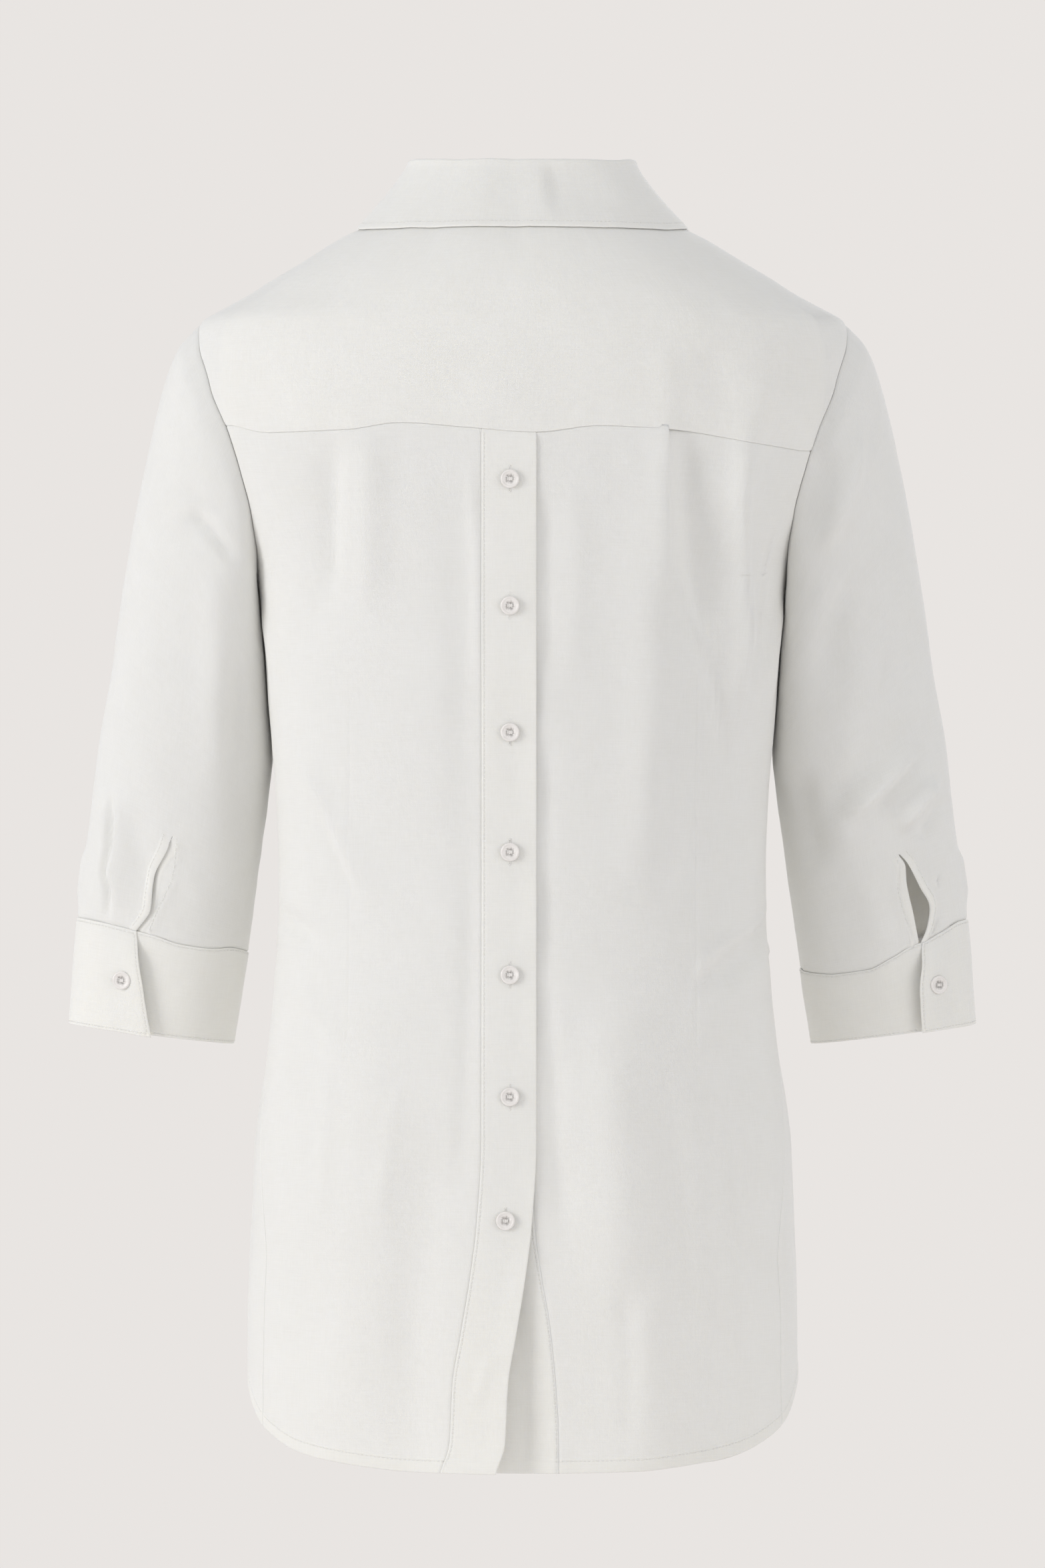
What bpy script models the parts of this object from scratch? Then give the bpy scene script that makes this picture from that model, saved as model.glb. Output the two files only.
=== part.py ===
"""A linen blouse, filled out as it is when worn, open at the neck, hem and cuffs.

Metres, +Z up. The origin is the middle of the neck at the height of the shoulders' neck ends.
The back faces -Y, the wearer's right side is +X. The back and the front both open down the middle.

A place on the body is (u, z): z is the height, and u goes round the garment at that height,
0 at the centre back, 0.5 at the side and 1 at the centre front, negative on the left.
"""

import math
from collections import namedtuple

import bpy
import numpy as np
from mathutils import Vector

# Driving dimensions
WALL = 0.0012  # thickness of every cloth wall
SEAM_GAP = 0.0004  # between pieces that are sewn together
ROUNDNESS = 2.3  # exponent of the body's sections, 2 is an ellipse
HEM_LEVEL = -0.765
FRONT_HEM_DROP = 0.016  # the front is this much longer than the back
UNDERARM_Z = -0.215
SHOULDER_TOP_Z = -0.057  # the armhole's highest point
ARMHOLE_HALF_DEPTH = 0.058
SHOULDER_SEAM_Z = -0.062  # where the yoke's front edge, forward of the shoulder line, meets it
BAND_WIDTH = 0.0335  # of the button bands, back and front
BAND_RISE = 0.0005  # an upper band stands this much over its panel
LAP_DROP = 0.0016  # the lower side of an opening lies this much under the upper one
LAP_BLEND = 0.045  # and comes back to the panel's level over this width
PLACKET_FLARE = 0.0085  # the parted edges stand out this much at the hem
FRONT_FLARE = 0.006
FLARE_WIDTH = 0.045
PLACKET_EDGE_X = 0.0085  # free edge of the closed back placket
FRONT_EDGE_X = 0.017  # the front bands reach this far past the centre
COLLAR_LIFT = 0.0008  # the stand's lower edge over the neckline
STAND_HEIGHT = 0.0295
STAND_LEAN = 0.87  # the stand's upper edge, as a share of its lower one
STAND_LAP_U = 0.045  # its ends go on this far past the centre front
STAND_LAP_RISE = 0.0017  # the upper end stands this much over the lower one
STAND_BULGE = 0.0012
FALL_END_U = 0.985  # the fall ends just short of the centre front
FALL_LID = (-0.0010, 0.0024)  # its inner edge, out from and up from the stand's top
FALL_FOLD = (0.0034, 0.0022)  # and its fold
FALL_RISE = 0.0022  # its lower edge over the body
FALL_HOLLOW = 0.0010  # it is hollow by this much between the two
BUTTON_RADIUS = 0.0057
BUTTON_HEIGHT = 0.0022
CUFF_START = 0.87  # share of the sleeve's length
CUFF_LAP_DEG = 26.0
CUFF_LAP_RISE = 0.0017  # the overlap's upper layer over the lower one
SLEEVE_ROUNDNESS = 0.92  # exponent of the sleeves' sections, 1 is an ellipse
SLIT_START = 0.70
SLIT_HALF_WIDTH = 0.0055

# Colours and finishes
LINEN_COLOUR = (0.84, 0.83, 0.79, 1.0)
LINEN_ROUGHNESS = 0.85
BUTTON_COLOUR = (0.86, 0.85, 0.82, 1.0)
BUTTON_ROUGHNESS = 0.35

# Sections of the body, from the hem to the neck
Section = namedtuple("Section", "z half_width back_depth front_depth")
BODY = [
    Section(-0.790, 0.1690, 0.1280, 0.1260),
    Section(-0.730, 0.1705, 0.1270, 0.1255),
    Section(-0.680, 0.1703, 0.1260, 0.1240),
    Section(-0.627, 0.1680, 0.1240, 0.1220),
    Section(-0.577, 0.1655, 0.1215, 0.1190),
    Section(-0.540, 0.1620, 0.1185, 0.1160),
    Section(-0.505, 0.1580, 0.1150, 0.1130),
    Section(-0.466, 0.1536, 0.1110, 0.1100),
    Section(-0.428, 0.1510, 0.1080, 0.1080),
    Section(-0.395, 0.1510, 0.1075, 0.1080),
    Section(-0.350, 0.1530, 0.1090, 0.1120),
    Section(-0.313, 0.1560, 0.1115, 0.1170),
    Section(-0.250, 0.1605, 0.1150, 0.1220),
    Section(-0.209, 0.1660, 0.1165, 0.1210),
    Section(-0.180, 0.1775, 0.1175, 0.1170),
    Section(-0.150, 0.1910, 0.1180, 0.1080),
    Section(-0.125, 0.2000, 0.1180, 0.0980),
    Section(-0.100, 0.2070, 0.1170, 0.0860),
    Section(-0.080, 0.2070, 0.1155, 0.0750),
    Section(-0.066, 0.2040, 0.1135, 0.0665),
    Section(-0.057, 0.1990, 0.1120, 0.0610),
    Section(-0.050, 0.1870, 0.1100, 0.0570),
    Section(-0.042, 0.1720, 0.1080, 0.0525),
    Section(-0.031, 0.1550, 0.1030, 0.0470),
    Section(-0.022, 0.1400, 0.0980, 0.0420),
    Section(-0.0145, 0.1280, 0.0930, 0.0380),
    Section(-0.006, 0.1140, 0.0860, 0.0330),
    Section(0.002, 0.0980, 0.0760, 0.0260),
    Section(0.008, 0.0840, 0.0660, 0.0190),
    Section(0.012, 0.0740, 0.0600, 0.0140),
    Section(0.024, 0.0520, 0.0460, 0.0060),
]

# Edges of the body, as (u, z)
Point = namedtuple("Point", "at value")
HEM = [
    Point(0.000, -0.7625),
    Point(0.145, -0.7615),
    Point(0.205, -0.7590),
    Point(0.270, -0.7551),
    Point(0.310, -0.7515),
    Point(0.353, -0.7443),
    Point(0.390, -0.7370),
    Point(0.435, -0.7235),
    Point(0.465, -0.7155),
    Point(0.485, -0.7122),
    Point(0.500, -0.7115),
]
NECKLINE = [
    Point(0.00, 0.0080),
    Point(0.25, 0.0085),
    Point(0.40, 0.0105),
    Point(0.50, 0.0120),
    Point(0.55, 0.0100),
    Point(0.67, 0.0020),
    Point(0.82, -0.0220),
    Point(0.92, -0.0420),
    Point(0.97, -0.0490),
    Point(1.00, -0.0500),
]
# The seam under the yoke dips and rises across the back, as (x, z)
YOKE_SEAM = [
    Point(-0.178, -0.1235),
    Point(-0.156, -0.1285),
    Point(-0.108, -0.1275),
    Point(-0.075, -0.1235),
    Point(-0.034, -0.1265),
    Point(0.008, -0.1295),
    Point(0.047, -0.1255),
    Point(0.089, -0.1275),
    Point(0.136, -0.1342),
    Point(0.170, -0.1390),
]
# The side seams turn towards the back below the waist, as (z, u)
SIDE_SEAM = [
    Point(-0.790, 0.390),
    Point(-0.740, 0.385),
    Point(-0.644, 0.385),
    Point(-0.560, 0.440),
    Point(-0.430, 0.500),
    Point(-0.215, 0.500),
]

# How far each free edge swings from its closed place, below the last button, as (z, x)
PLACKET_SWING = [
    Point(-0.790, -0.0280),
    Point(-0.763, -0.0245),
    Point(-0.744, -0.0190),
    Point(-0.708, -0.0172),
    Point(-0.679, -0.0125),
    Point(-0.645, -0.0070),
    Point(-0.613, -0.0030),
    Point(-0.560, 0.0000),
    Point(0.000, 0.0000),
]
UNDERLAP_SWING = [
    Point(-0.790, 0.0168),
    Point(-0.736, 0.0162),
    Point(-0.713, 0.0150),
    Point(-0.672, 0.0110),
    Point(-0.643, 0.0060),
    Point(-0.614, 0.0018),
    Point(-0.575, 0.0000),
    Point(0.000, 0.0000),
]
FRONT_SWING = [
    Point(-0.790, 1.050),
    Point(-0.770, 0.980),
    Point(-0.700, 0.560),
    Point(-0.640, 0.240),
    Point(-0.580, 0.030),
    Point(-0.560, 0.000),
    Point(0.000, 0.000),
]
FRONT_OVER_SWING_X = 0.046
FRONT_UNDER_SWING_X = -0.016

# Folds of the body: a ridge from one end to the other, or a trough where the height is negative
Fold = namedtuple("Fold", "x0 z0 x1 z1 width height")
BACK_FOLDS = [
    Fold(0.090, -0.126, 0.087, -0.225, 0.009, 0.0036),
    Fold(0.104, -0.130, 0.108, -0.270, 0.011, -0.0026),
    Fold(-0.104, -0.124, -0.099, -0.245, 0.013, 0.0032),
    Fold(-0.122, -0.130, -0.128, -0.260, 0.011, -0.0018),
    Fold(0.141, -0.092, 0.139, -0.325, 0.015, 0.0018),
    Fold(-0.034, -0.165, -0.036, -0.420, 0.010, -0.0016),
    Fold(0.152, -0.427, 0.100, -0.475, 0.007, -0.0032),
    Fold(0.150, -0.450, 0.108, -0.500, 0.012, 0.0020),
    Fold(-0.140, -0.322, -0.088, -0.412, 0.011, 0.0026),
    Fold(-0.150, -0.426, -0.126, -0.446, 0.007, -0.0022),
    Fold(-0.092, -0.480, -0.112, -0.775, 0.023, 0.0046),
    Fold(0.062, -0.470, 0.078, -0.775, 0.022, 0.0042),
    Fold(0.112, -0.540, 0.124, -0.770, 0.014, -0.0028),
    Fold(-0.056, -0.560, -0.070, -0.775, 0.014, -0.0030),
]
FRONT_FOLDS = [
    Fold(0.070, -0.230, 0.084, -0.775, 0.026, 0.0050),
    Fold(-0.074, -0.240, -0.090, -0.775, 0.025, 0.0048),
    Fold(0.118, -0.300, 0.128, -0.765, 0.015, -0.0030),
    Fold(-0.116, -0.330, -0.124, -0.765, 0.016, -0.0030),
    Fold(0.040, -0.430, 0.046, -0.775, 0.014, -0.0024),
    Fold(-0.042, -0.400, -0.046, -0.775, 0.014, -0.0024),
]

# The right sleeve's sections, each through an outer and an inner point of its outline
Sleeve = namedtuple("Sleeve", "share outer_x outer_z inner_x inner_z centre_y half_depth")
SLEEVE = [
    Sleeve(0.00, 0.1990, -0.057, 0.1655, -0.215, 0.000, 0.0580),
    Sleeve(0.04, 0.2130, -0.0725, 0.1670, -0.226, 0.001, 0.0605),
    Sleeve(0.10, 0.2230, -0.098, 0.1660, -0.244, 0.005, 0.0610),
    Sleeve(0.20, 0.2335, -0.142, 0.1625, -0.270, 0.012, 0.0600),
    Sleeve(0.30, 0.2430, -0.187, 0.1600, -0.297, 0.019, 0.0580),
    Sleeve(0.40, 0.2505, -0.232, 0.1575, -0.325, 0.026, 0.0560),
    Sleeve(0.50, 0.2565, -0.275, 0.1585, -0.350, 0.031, 0.0540),
    Sleeve(0.60, 0.2640, -0.318, 0.1625, -0.378, 0.036, 0.0520),
    Sleeve(0.70, 0.2695, -0.360, 0.1670, -0.408, 0.041, 0.0500),
    Sleeve(0.80, 0.2750, -0.400, 0.1705, -0.435, 0.046, 0.0480),
    Sleeve(0.87, 0.2790, -0.433, 0.1735, -0.455, 0.049, 0.0465),
    Sleeve(1.00, 0.2840, -0.4935, 0.1815, -0.5060, 0.054, 0.0450),
]
# Folds of a sleeve on its back, on the wearer's right and left
SLEEVE_FOLDS = {
    1: [
        Fold(0.192, -0.377, 0.258, -0.324, 0.010, 0.0038),
        Fold(0.186, -0.358, 0.250, -0.300, 0.010, -0.0024),
        Fold(0.198, -0.186, 0.218, -0.128, 0.011, 0.0028),
        Fold(0.236, -0.374, 0.256, -0.342, 0.007, 0.0020),
    ],
    -1: [
        Fold(-0.206, -0.176, -0.172, -0.208, 0.010, -0.0030),
        Fold(-0.258, -0.347, -0.256, -0.428, 0.008, 0.0030),
        Fold(-0.190, -0.300, -0.246, -0.262, 0.016, 0.0022),
        Fold(-0.230, -0.410, -0.246, -0.360, 0.008, -0.0020),
    ],
}
SLIT_ANGLE = {1: 113.0, -1: 103.0}  # degrees round the sleeve from its inner side by the back

# The collar's fall, from the middle of the back to its point: where its lower edge lies
Edge = namedtuple("Edge", "along u z")
FALL_EDGE = [
    Edge(0.000, 0.000, -0.0030),
    Edge(0.300, 0.300, -0.0035),
    Edge(0.500, 0.500, 0.0003),
    Edge(0.620, 0.610, -0.0140),
    Edge(0.800, 0.740, -0.0450),
    Edge(0.985, 0.895, -0.0860),
]

# Buttons
BACK_BUTTON_X = -0.0076
BACK_BUTTON_Z = [-0.158, -0.235, -0.312, -0.385, -0.460, -0.534, -0.609]
FRONT_BUTTON_TOP_Z = -0.088
FRONT_BUTTON_STEP = 0.078
FRONT_BUTTONS = 7

# Mesh density
LOWER_ROWS = 21
BACK_UPPER_ROWS = 5
FRONT_UPPER_ROWS = 8
YOKE_ROWS = 5
BACK_COLUMNS = 10
FRONT_COLUMNS = 9
YOKE_ARM_POINTS = 5
COLLAR_COLUMNS = 30


# Curves and sections


def smooth(rows):
    """A curve through rows of (at, value) with no overshoot, as a function of arrays."""
    at = np.array([row[0] for row in rows])
    value = np.array([row[1] for row in rows])
    step = np.diff(at)
    slope = np.diff(value) / step
    same = slope[:-1] * slope[1:] > 0
    mean = 2 * slope[:-1] * slope[1:] / np.where(same, slope[:-1] + slope[1:], 1.0)
    tangent = np.concatenate([[slope[0]], np.where(same, mean, 0.0), [slope[-1]]])

    def curve(x):
        x = np.clip(np.asarray(x, float), at[0], at[-1])
        i = np.clip(np.searchsorted(at, x) - 1, 0, len(at) - 2)
        t = (x - at[i]) / step[i]
        start, end = 2 * t**3 - 3 * t**2 + 1, 3 * t**2 - 2 * t**3
        bend = (t**3 - 2 * t**2 + t) * tangent[i] + (t**3 - t**2) * tangent[i + 1]
        return start * value[i] + end * value[i + 1] + bend * step[i]

    return curve


def column(rows, key, value):
    return smooth([(getattr(row, key), getattr(row, value)) for row in rows])


def smoothstep(x):
    x = np.clip(x, 0.0, 1.0)
    return x * x * (3 - 2 * x)


body_width = column(BODY, "z", "half_width")
body_back = column(BODY, "z", "back_depth")
body_front = column(BODY, "z", "front_depth")
hem_curve = smooth(HEM)
neck_curve = smooth(NECKLINE)
yoke_curve = smooth(YOKE_SEAM)
side_curve = smooth(SIDE_SEAM)
placket_swing = smooth(PLACKET_SWING)
underlap_swing = smooth(UNDERLAP_SWING)
front_swing = smooth(FRONT_SWING)


def quarter_table(ratios, angles):
    """The share of a section's quarter that lies before each angle, for each depth to width."""
    power = 2 / ROUNDNESS
    fine = np.linspace(0, math.pi / 2, 721)
    across, deep = np.sin(fine) ** power, np.cos(fine) ** power
    table = []
    for ratio in ratios:
        run = np.concatenate([[0], np.cumsum(np.hypot(np.diff(across), ratio * np.diff(deep)))])
        table.append(np.interp(angles, fine, run / run[-1]))
    return np.array(table)


RATIOS = np.linspace(0.05, 1.2, 70)
ANGLES = np.linspace(0, math.pi / 2, 361)
SHARES = quarter_table(RATIOS, ANGLES)
EVEN = np.linspace(0, 1, 361)
ANGLE_OF = np.array([np.interp(EVEN, row, ANGLES) for row in SHARES])


def look_up(table, ratio, place):
    """table's value at ratio and at place, from 0 to 1 along its rows."""
    i = np.clip((ratio - RATIOS[0]) / (RATIOS[1] - RATIOS[0]), 0, len(RATIOS) - 1.001)
    j = np.clip(place, 0, 1) * (table.shape[1] - 1.001)
    i0, j0 = i.astype(int), j.astype(int)
    a, b = i - i0, j - j0
    low = table[i0, j0] * (1 - b) + table[i0, j0 + 1] * b
    high = table[i0 + 1, j0] * (1 - b) + table[i0 + 1, j0 + 1] * b
    return low * (1 - a) + high * a


def plain_body(u, z):
    """The body's surface before its folds."""
    u = (np.asarray(u, float) + 1) % 2 - 1
    z = np.broadcast_to(np.asarray(z, float), u.shape)
    back = np.abs(u) <= 0.5
    share = np.where(back, 2 * np.abs(u), 2 * (1 - np.abs(u)))
    width = body_width(z)
    depth = np.where(back, body_back(z), body_front(z))
    angle = look_up(ANGLE_OF, depth / width, share)
    power = 2 / ROUNDNESS
    x = np.sign(u) * width * np.sin(angle) ** power
    y = np.where(back, -1.0, 1.0) * depth * np.cos(angle) ** power
    return np.stack([x, y, z], axis=-1)


def unit(v):
    return v / np.maximum(np.linalg.norm(v, axis=-1, keepdims=True), 1e-12)


def normal_of(surface, u, z):
    """The outward normal of a surface given by (u, z)."""
    du, dz = 0.002, 0.0008
    across = surface(u + du, z) - surface(u - du, z)
    up = surface(u, z + dz) - surface(u, z - dz)
    return unit(np.cross(across, up))


def fold_height(folds, x, z):
    total = np.zeros_like(x)
    for fold in folds:
        dx, dz = fold.x1 - fold.x0, fold.z1 - fold.z0
        length = math.hypot(dx, dz)
        along = ((x - fold.x0) * dx + (z - fold.z0) * dz) / length**2
        away = ((x - fold.x0) * dz - (z - fold.z0) * dx) / length
        ends = smoothstep((along + 0.12) / 0.3) * smoothstep((1.12 - along) / 0.4)
        total = total + fold.height * np.exp(-((away / fold.width) ** 2)) * ends
    return total


def body(u, z, rise=0.0):
    """The body's outer surface, with its folds, moved out by rise."""
    u = (np.asarray(u, float) + 1) % 2 - 1
    z = np.broadcast_to(np.asarray(z, float), u.shape)
    point = plain_body(u, z)
    back = np.abs(u) < 0.5
    folds = np.where(
        back,
        fold_height(BACK_FOLDS, point[..., 0], z),
        fold_height(FRONT_FOLDS, point[..., 0], z),
    )
    calm = smoothstep((UNDERARM_Z - 0.02 - z) / 0.03)
    side = smoothstep(np.abs(np.abs(u) - 0.5) / 0.06)
    folds = folds * np.where(np.abs(u) > 0.36, np.maximum(side * calm, 0), 1.0)
    return point + normal_of(plain_body, u, z) * (folds + rise)[..., None]


def share_of_x(x, z, depth):
    width = body_width(z)
    angle = np.arcsin(np.clip(np.abs(x) / width, 0, 1) ** (ROUNDNESS / 2))
    return look_up(SHARES, depth / width, angle / (math.pi / 2))


def back_u(x, z):
    return 0.5 * np.sign(x) * share_of_x(x, z, body_back(z))


def front_u(x, z, side):
    """u of a place near the centre front, for the panel on the given side."""
    return side - 0.5 * np.sign(x) * share_of_x(x, z, body_front(z))


# Edges of the panels


def armhole_half_depth(z):
    middle = (SHOULDER_TOP_Z + UNDERARM_Z) / 2
    half = (SHOULDER_TOP_Z - UNDERARM_Z) / 2
    return ARMHOLE_HALF_DEPTH * np.sqrt(np.clip(1 - ((z - middle) / half) ** 2, 0, 1))


def armhole_u(z, front):
    depth = body_front(z) if front else body_back(z)
    reach = np.clip(armhole_half_depth(z) / depth, 0, 1)
    angle = np.arccos(reach ** (ROUNDNESS / 2))
    share = look_up(SHARES, depth / body_width(z), angle / (math.pi / 2))
    return 1 - 0.5 * share if front else 0.5 * share


SHOULDER_SEAM_U = float(armhole_u(np.array(SHOULDER_SEAM_Z), front=True))


def back_side_edge(z):
    return np.where(z < UNDERARM_Z, side_curve(z), armhole_u(z, front=False))


def front_side_edge(z):
    upper = np.where(z > SHOULDER_SEAM_Z, SHOULDER_SEAM_U, armhole_u(z, front=True))
    return np.where(z < UNDERARM_Z, side_curve(z), upper)


def placket_edges(z):
    free = PLACKET_EDGE_X + placket_swing(z)
    return free - BAND_WIDTH, free


def underlap_edges(z):
    sewn = PLACKET_EDGE_X - 0.0027 + underlap_swing(z)
    return sewn - BAND_WIDTH + 0.004, sewn


def front_over_edges(z):
    free = -FRONT_EDGE_X + FRONT_OVER_SWING_X * front_swing(z)
    return free, free + BAND_WIDTH


def front_under_edges(z):
    free = FRONT_EDGE_X + FRONT_UNDER_SWING_X * front_swing(z)
    return free - BAND_WIDTH, free


def hem_z(u):
    around = np.abs((np.asarray(u, float) + 1) % 2 - 1)
    drop = FRONT_HEM_DROP * smoothstep((around - 0.5) / 0.25)
    return hem_curve(np.where(around > 0.5, 1 - around, around)) - drop


# Layers at the openings


def lift_placket(x, z):
    """The upper side of the parted back stands out a little near its free edge."""
    edge = placket_edges(z)[1]
    open_share = placket_swing(z) / PLACKET_SWING[0].value
    return PLACKET_FLARE * open_share * np.exp(-(((edge - x) / FLARE_WIDTH) ** 2))


def lift_front(x, z):
    edge = front_over_edges(z)[0]
    return FRONT_FLARE * front_swing(z) * np.exp(-(((x - edge) / FLARE_WIDTH) ** 2))


def drop_lap(distance):
    return -LAP_DROP * (1 - smoothstep(distance / LAP_BLEND))


def rise_none(x, z):
    return np.zeros_like(x)


def rise_back_right(x, z):
    return drop_lap(x - underlap_edges(z)[1])


def rise_front_left(x, z):
    return drop_lap(front_under_edges(z)[0] - x)


# Meshes


def linen(name):
    return finish(name + "_linen", LINEN_COLOUR, LINEN_ROUGHNESS)


def finish(name, colour, roughness):
    material = bpy.data.materials.new(name)
    material.use_nodes = True
    shader = material.node_tree.nodes["Principled BSDF"]
    shader.inputs["Base Color"].default_value = colour
    shader.inputs["Roughness"].default_value = roughness
    shader.inputs["Metallic"].default_value = 0.0
    return material


def add_object(name, points, faces, material):
    mesh = bpy.data.meshes.new(name)
    mesh.from_pydata([tuple(p) for p in points], [], faces)
    mesh.shade_smooth()
    mesh.set_sharp_from_angle(angle=math.radians(40))
    mesh.materials.append(material)
    mesh.update()
    thing = bpy.data.objects.new(name, mesh)
    bpy.context.scene.collection.objects.link(thing)
    return thing


def wall(name, outer, inner, joins=()):
    """A closed wall between two grids of points. joins lists rows whose first and last columns
    are one point, as on a tube."""
    rows, columns = outer.shape[:2]
    joined = set(joins)

    def index(row, col):
        return row * columns + (0 if col == columns - 1 and row in joined else col)

    quads = []
    for row in range(rows - 1):
        for col in range(columns - 1):
            corners = (
                index(row, col),
                index(row, col + 1),
                index(row + 1, col + 1),
                index(row + 1, col),
            )
            quads.append(corners)
    points = np.concatenate([outer.reshape(-1, 3), inner.reshape(-1, 3)])
    a, b, d = (points[quads[0][k]] for k in (0, 1, 3))
    outward = points[quads[0][0]] - points[quads[0][0] + rows * columns]
    if np.dot(np.cross(b - a, d - a), outward) < 0:
        quads = [quad[::-1] for quad in quads]
    shift = rows * columns
    faces = quads + [tuple(i + shift for i in quad[::-1]) for quad in quads]
    sides = {(quad[k], quad[(k + 1) % 4]) for quad in quads for k in range(4)}
    for start, end in sorted(sides):
        if (end, start) not in sides:
            faces.append((end, start, start + shift, end + shift))
    used = sorted({i for face in faces for i in face})
    new = {old: count for count, old in enumerate(used)}
    faces = [tuple(new[i] for i in face) for face in faces]
    return add_object(name, points[used], faces, linen(name))


def inset(points, sides):
    """The grid with the named sides drawn in by half a seam's gap."""
    points = points.copy()
    half = SEAM_GAP / 2
    if "bottom" in sides:
        points[0] += unit(points[1] - points[0]) * half
    if "top" in sides:
        points[-1] += unit(points[-2] - points[-1]) * half
    if "start" in sides:
        points[:, 0] += unit(points[:, 1] - points[:, 0]) * half
    if "end" in sides:
        points[:, -1] += unit(points[:, -2] - points[:, -1]) * half
    return points


def body_piece(name, u, z, rise, sides):
    """A wall on the body from grids of u and z; rise(x, z) moves it out."""

    def surface(u, z):
        return body(u, z, rise(plain_body(u, z)[..., 0], z))

    outer = surface(u, z)
    inner = outer - WALL * normal_of(surface, u, z)
    return wall(name, inset(outer, sides), inset(inner, sides))


def oval_spacing(count, turn):
    """Levels from 0 to 1, close together where an oval turns under."""
    angle = np.linspace(0, turn, count + 1)
    return (1 - np.cos(angle)) / (1 - math.cos(turn))


def panel_grid(start, end, columns, levels, top):
    """Grids of u and z between two edges. levels lists (row shares, z at their end or None for
    top), upwards from the hem, and top gives z from u."""
    s = np.linspace(0, 1, columns + 1)
    bottom = np.full_like(s, HEM_LEVEL)
    for _ in range(4):
        bottom = hem_z(start(bottom) + (end(bottom) - start(bottom)) * s)
    upper = np.full_like(s, -0.1)
    for _ in range(12):
        upper = 0.5 * upper + 0.5 * top(start(upper) + (end(upper) - start(upper)) * s, upper)
    rows, low = [bottom], bottom
    for shares, level in levels:
        high = upper if level is None else np.full_like(s, level)
        rows += [low + (high - low) * share for share in shares[1:]]
        low = high
    z = np.array(rows)
    return start(z) + (end(z) - start(z)) * s, z


def yoke_z(u, z):
    return yoke_curve(plain_body(u, z)[..., 0])


def neck_z(u, z):
    return neck_curve(np.abs((u + 1) % 2 - 1))


LOWER = np.linspace(0, 1, LOWER_ROWS + 1)
BACK_UPPER = oval_spacing(BACK_UPPER_ROWS, 1.85)
FRONT_UPPER = oval_spacing(FRONT_UPPER_ROWS, 2.75)
NECK_PART = np.linspace(0, 1, YOKE_ROWS + 1)
BACK_LEVELS = [(LOWER, UNDERARM_Z), (BACK_UPPER, None)]
FRONT_LEVELS = [(LOWER, UNDERARM_Z), (FRONT_UPPER, SHOULDER_SEAM_Z), (NECK_PART, None)]


def make_back():
    def left_start(z):
        return -back_side_edge(z)

    def left_end(z):
        return back_u(placket_edges(z)[0], z)

    def right_start(z):
        return back_u(underlap_edges(z)[1], z)

    u, z = panel_grid(left_start, left_end, BACK_COLUMNS, BACK_LEVELS, yoke_z)
    body_piece("back_left", u, z, lift_placket, ("start", "end", "top"))
    left_edge = (u[LOWER_ROWS:, 0], z[LOWER_ROWS:, 0])
    seam_u = u[-1]
    u, z = panel_grid(right_start, back_side_edge, BACK_COLUMNS, BACK_LEVELS, yoke_z)
    body_piece("back_right", u, z, rise_back_right, ("start", "end", "top"))
    right_edge = (u[LOWER_ROWS:, -1], z[LOWER_ROWS:, -1])
    return {-1: left_edge, 1: right_edge}, np.concatenate([seam_u, u[-1]])


def make_band(name, edges, to_u, rise, levels, top, sides):
    def start(z):
        return to_u(edges(z)[0], z)

    def end(z):
        return to_u(edges(z)[1], z)

    u, z = panel_grid(start, end, 2, levels, top)
    body_piece(name, u, z, rise, sides)


def make_back_bands():
    def over(x, z):
        return BAND_RISE + lift_placket(x, z)

    def under(x, z):
        return np.full_like(x, -LAP_DROP)

    make_band("back_placket", placket_edges, back_u, over, BACK_LEVELS, yoke_z, ("start", "top"))
    make_band("back_underlap", underlap_edges, back_u, under, BACK_LEVELS, yoke_z, ("end", "top"))


def make_front():
    def right_end(z):
        return front_u(front_over_edges(z)[1], z, 1)

    def left_start(z):
        return front_u(front_under_edges(z)[0], z, -1)

    def left_end(z):
        return -front_side_edge(z)

    u, z = panel_grid(front_side_edge, right_end, FRONT_COLUMNS, FRONT_LEVELS, neck_z)
    body_piece("front_right", u, z, lift_front, ("start", "end", "top"))
    arm = slice(LOWER_ROWS, LOWER_ROWS + FRONT_UPPER_ROWS + 1)
    right_edge = (u[arm, 0], z[arm, 0])
    u, z = panel_grid(left_start, left_end, FRONT_COLUMNS, FRONT_LEVELS, neck_z)
    body_piece("front_left", u, z, rise_front_left, ("start", "end", "top"))
    left_edge = (u[arm, -1], z[arm, -1])
    return {-1: left_edge, 1: right_edge}


def make_front_bands():
    def right_u(x, z):
        return front_u(x, z, 1)

    def left_u(x, z):
        return front_u(x, z, -1)

    def over(x, z):
        return BAND_RISE + lift_front(x, z)

    def under(x, z):
        return np.full_like(x, -LAP_DROP)

    sides = ("end", "top")
    make_band("front_band", front_over_edges, right_u, over, FRONT_LEVELS, neck_z, sides)
    sides = ("start", "top")
    make_band("front_under_band", front_under_edges, left_u, under, FRONT_LEVELS, neck_z, sides)


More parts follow.
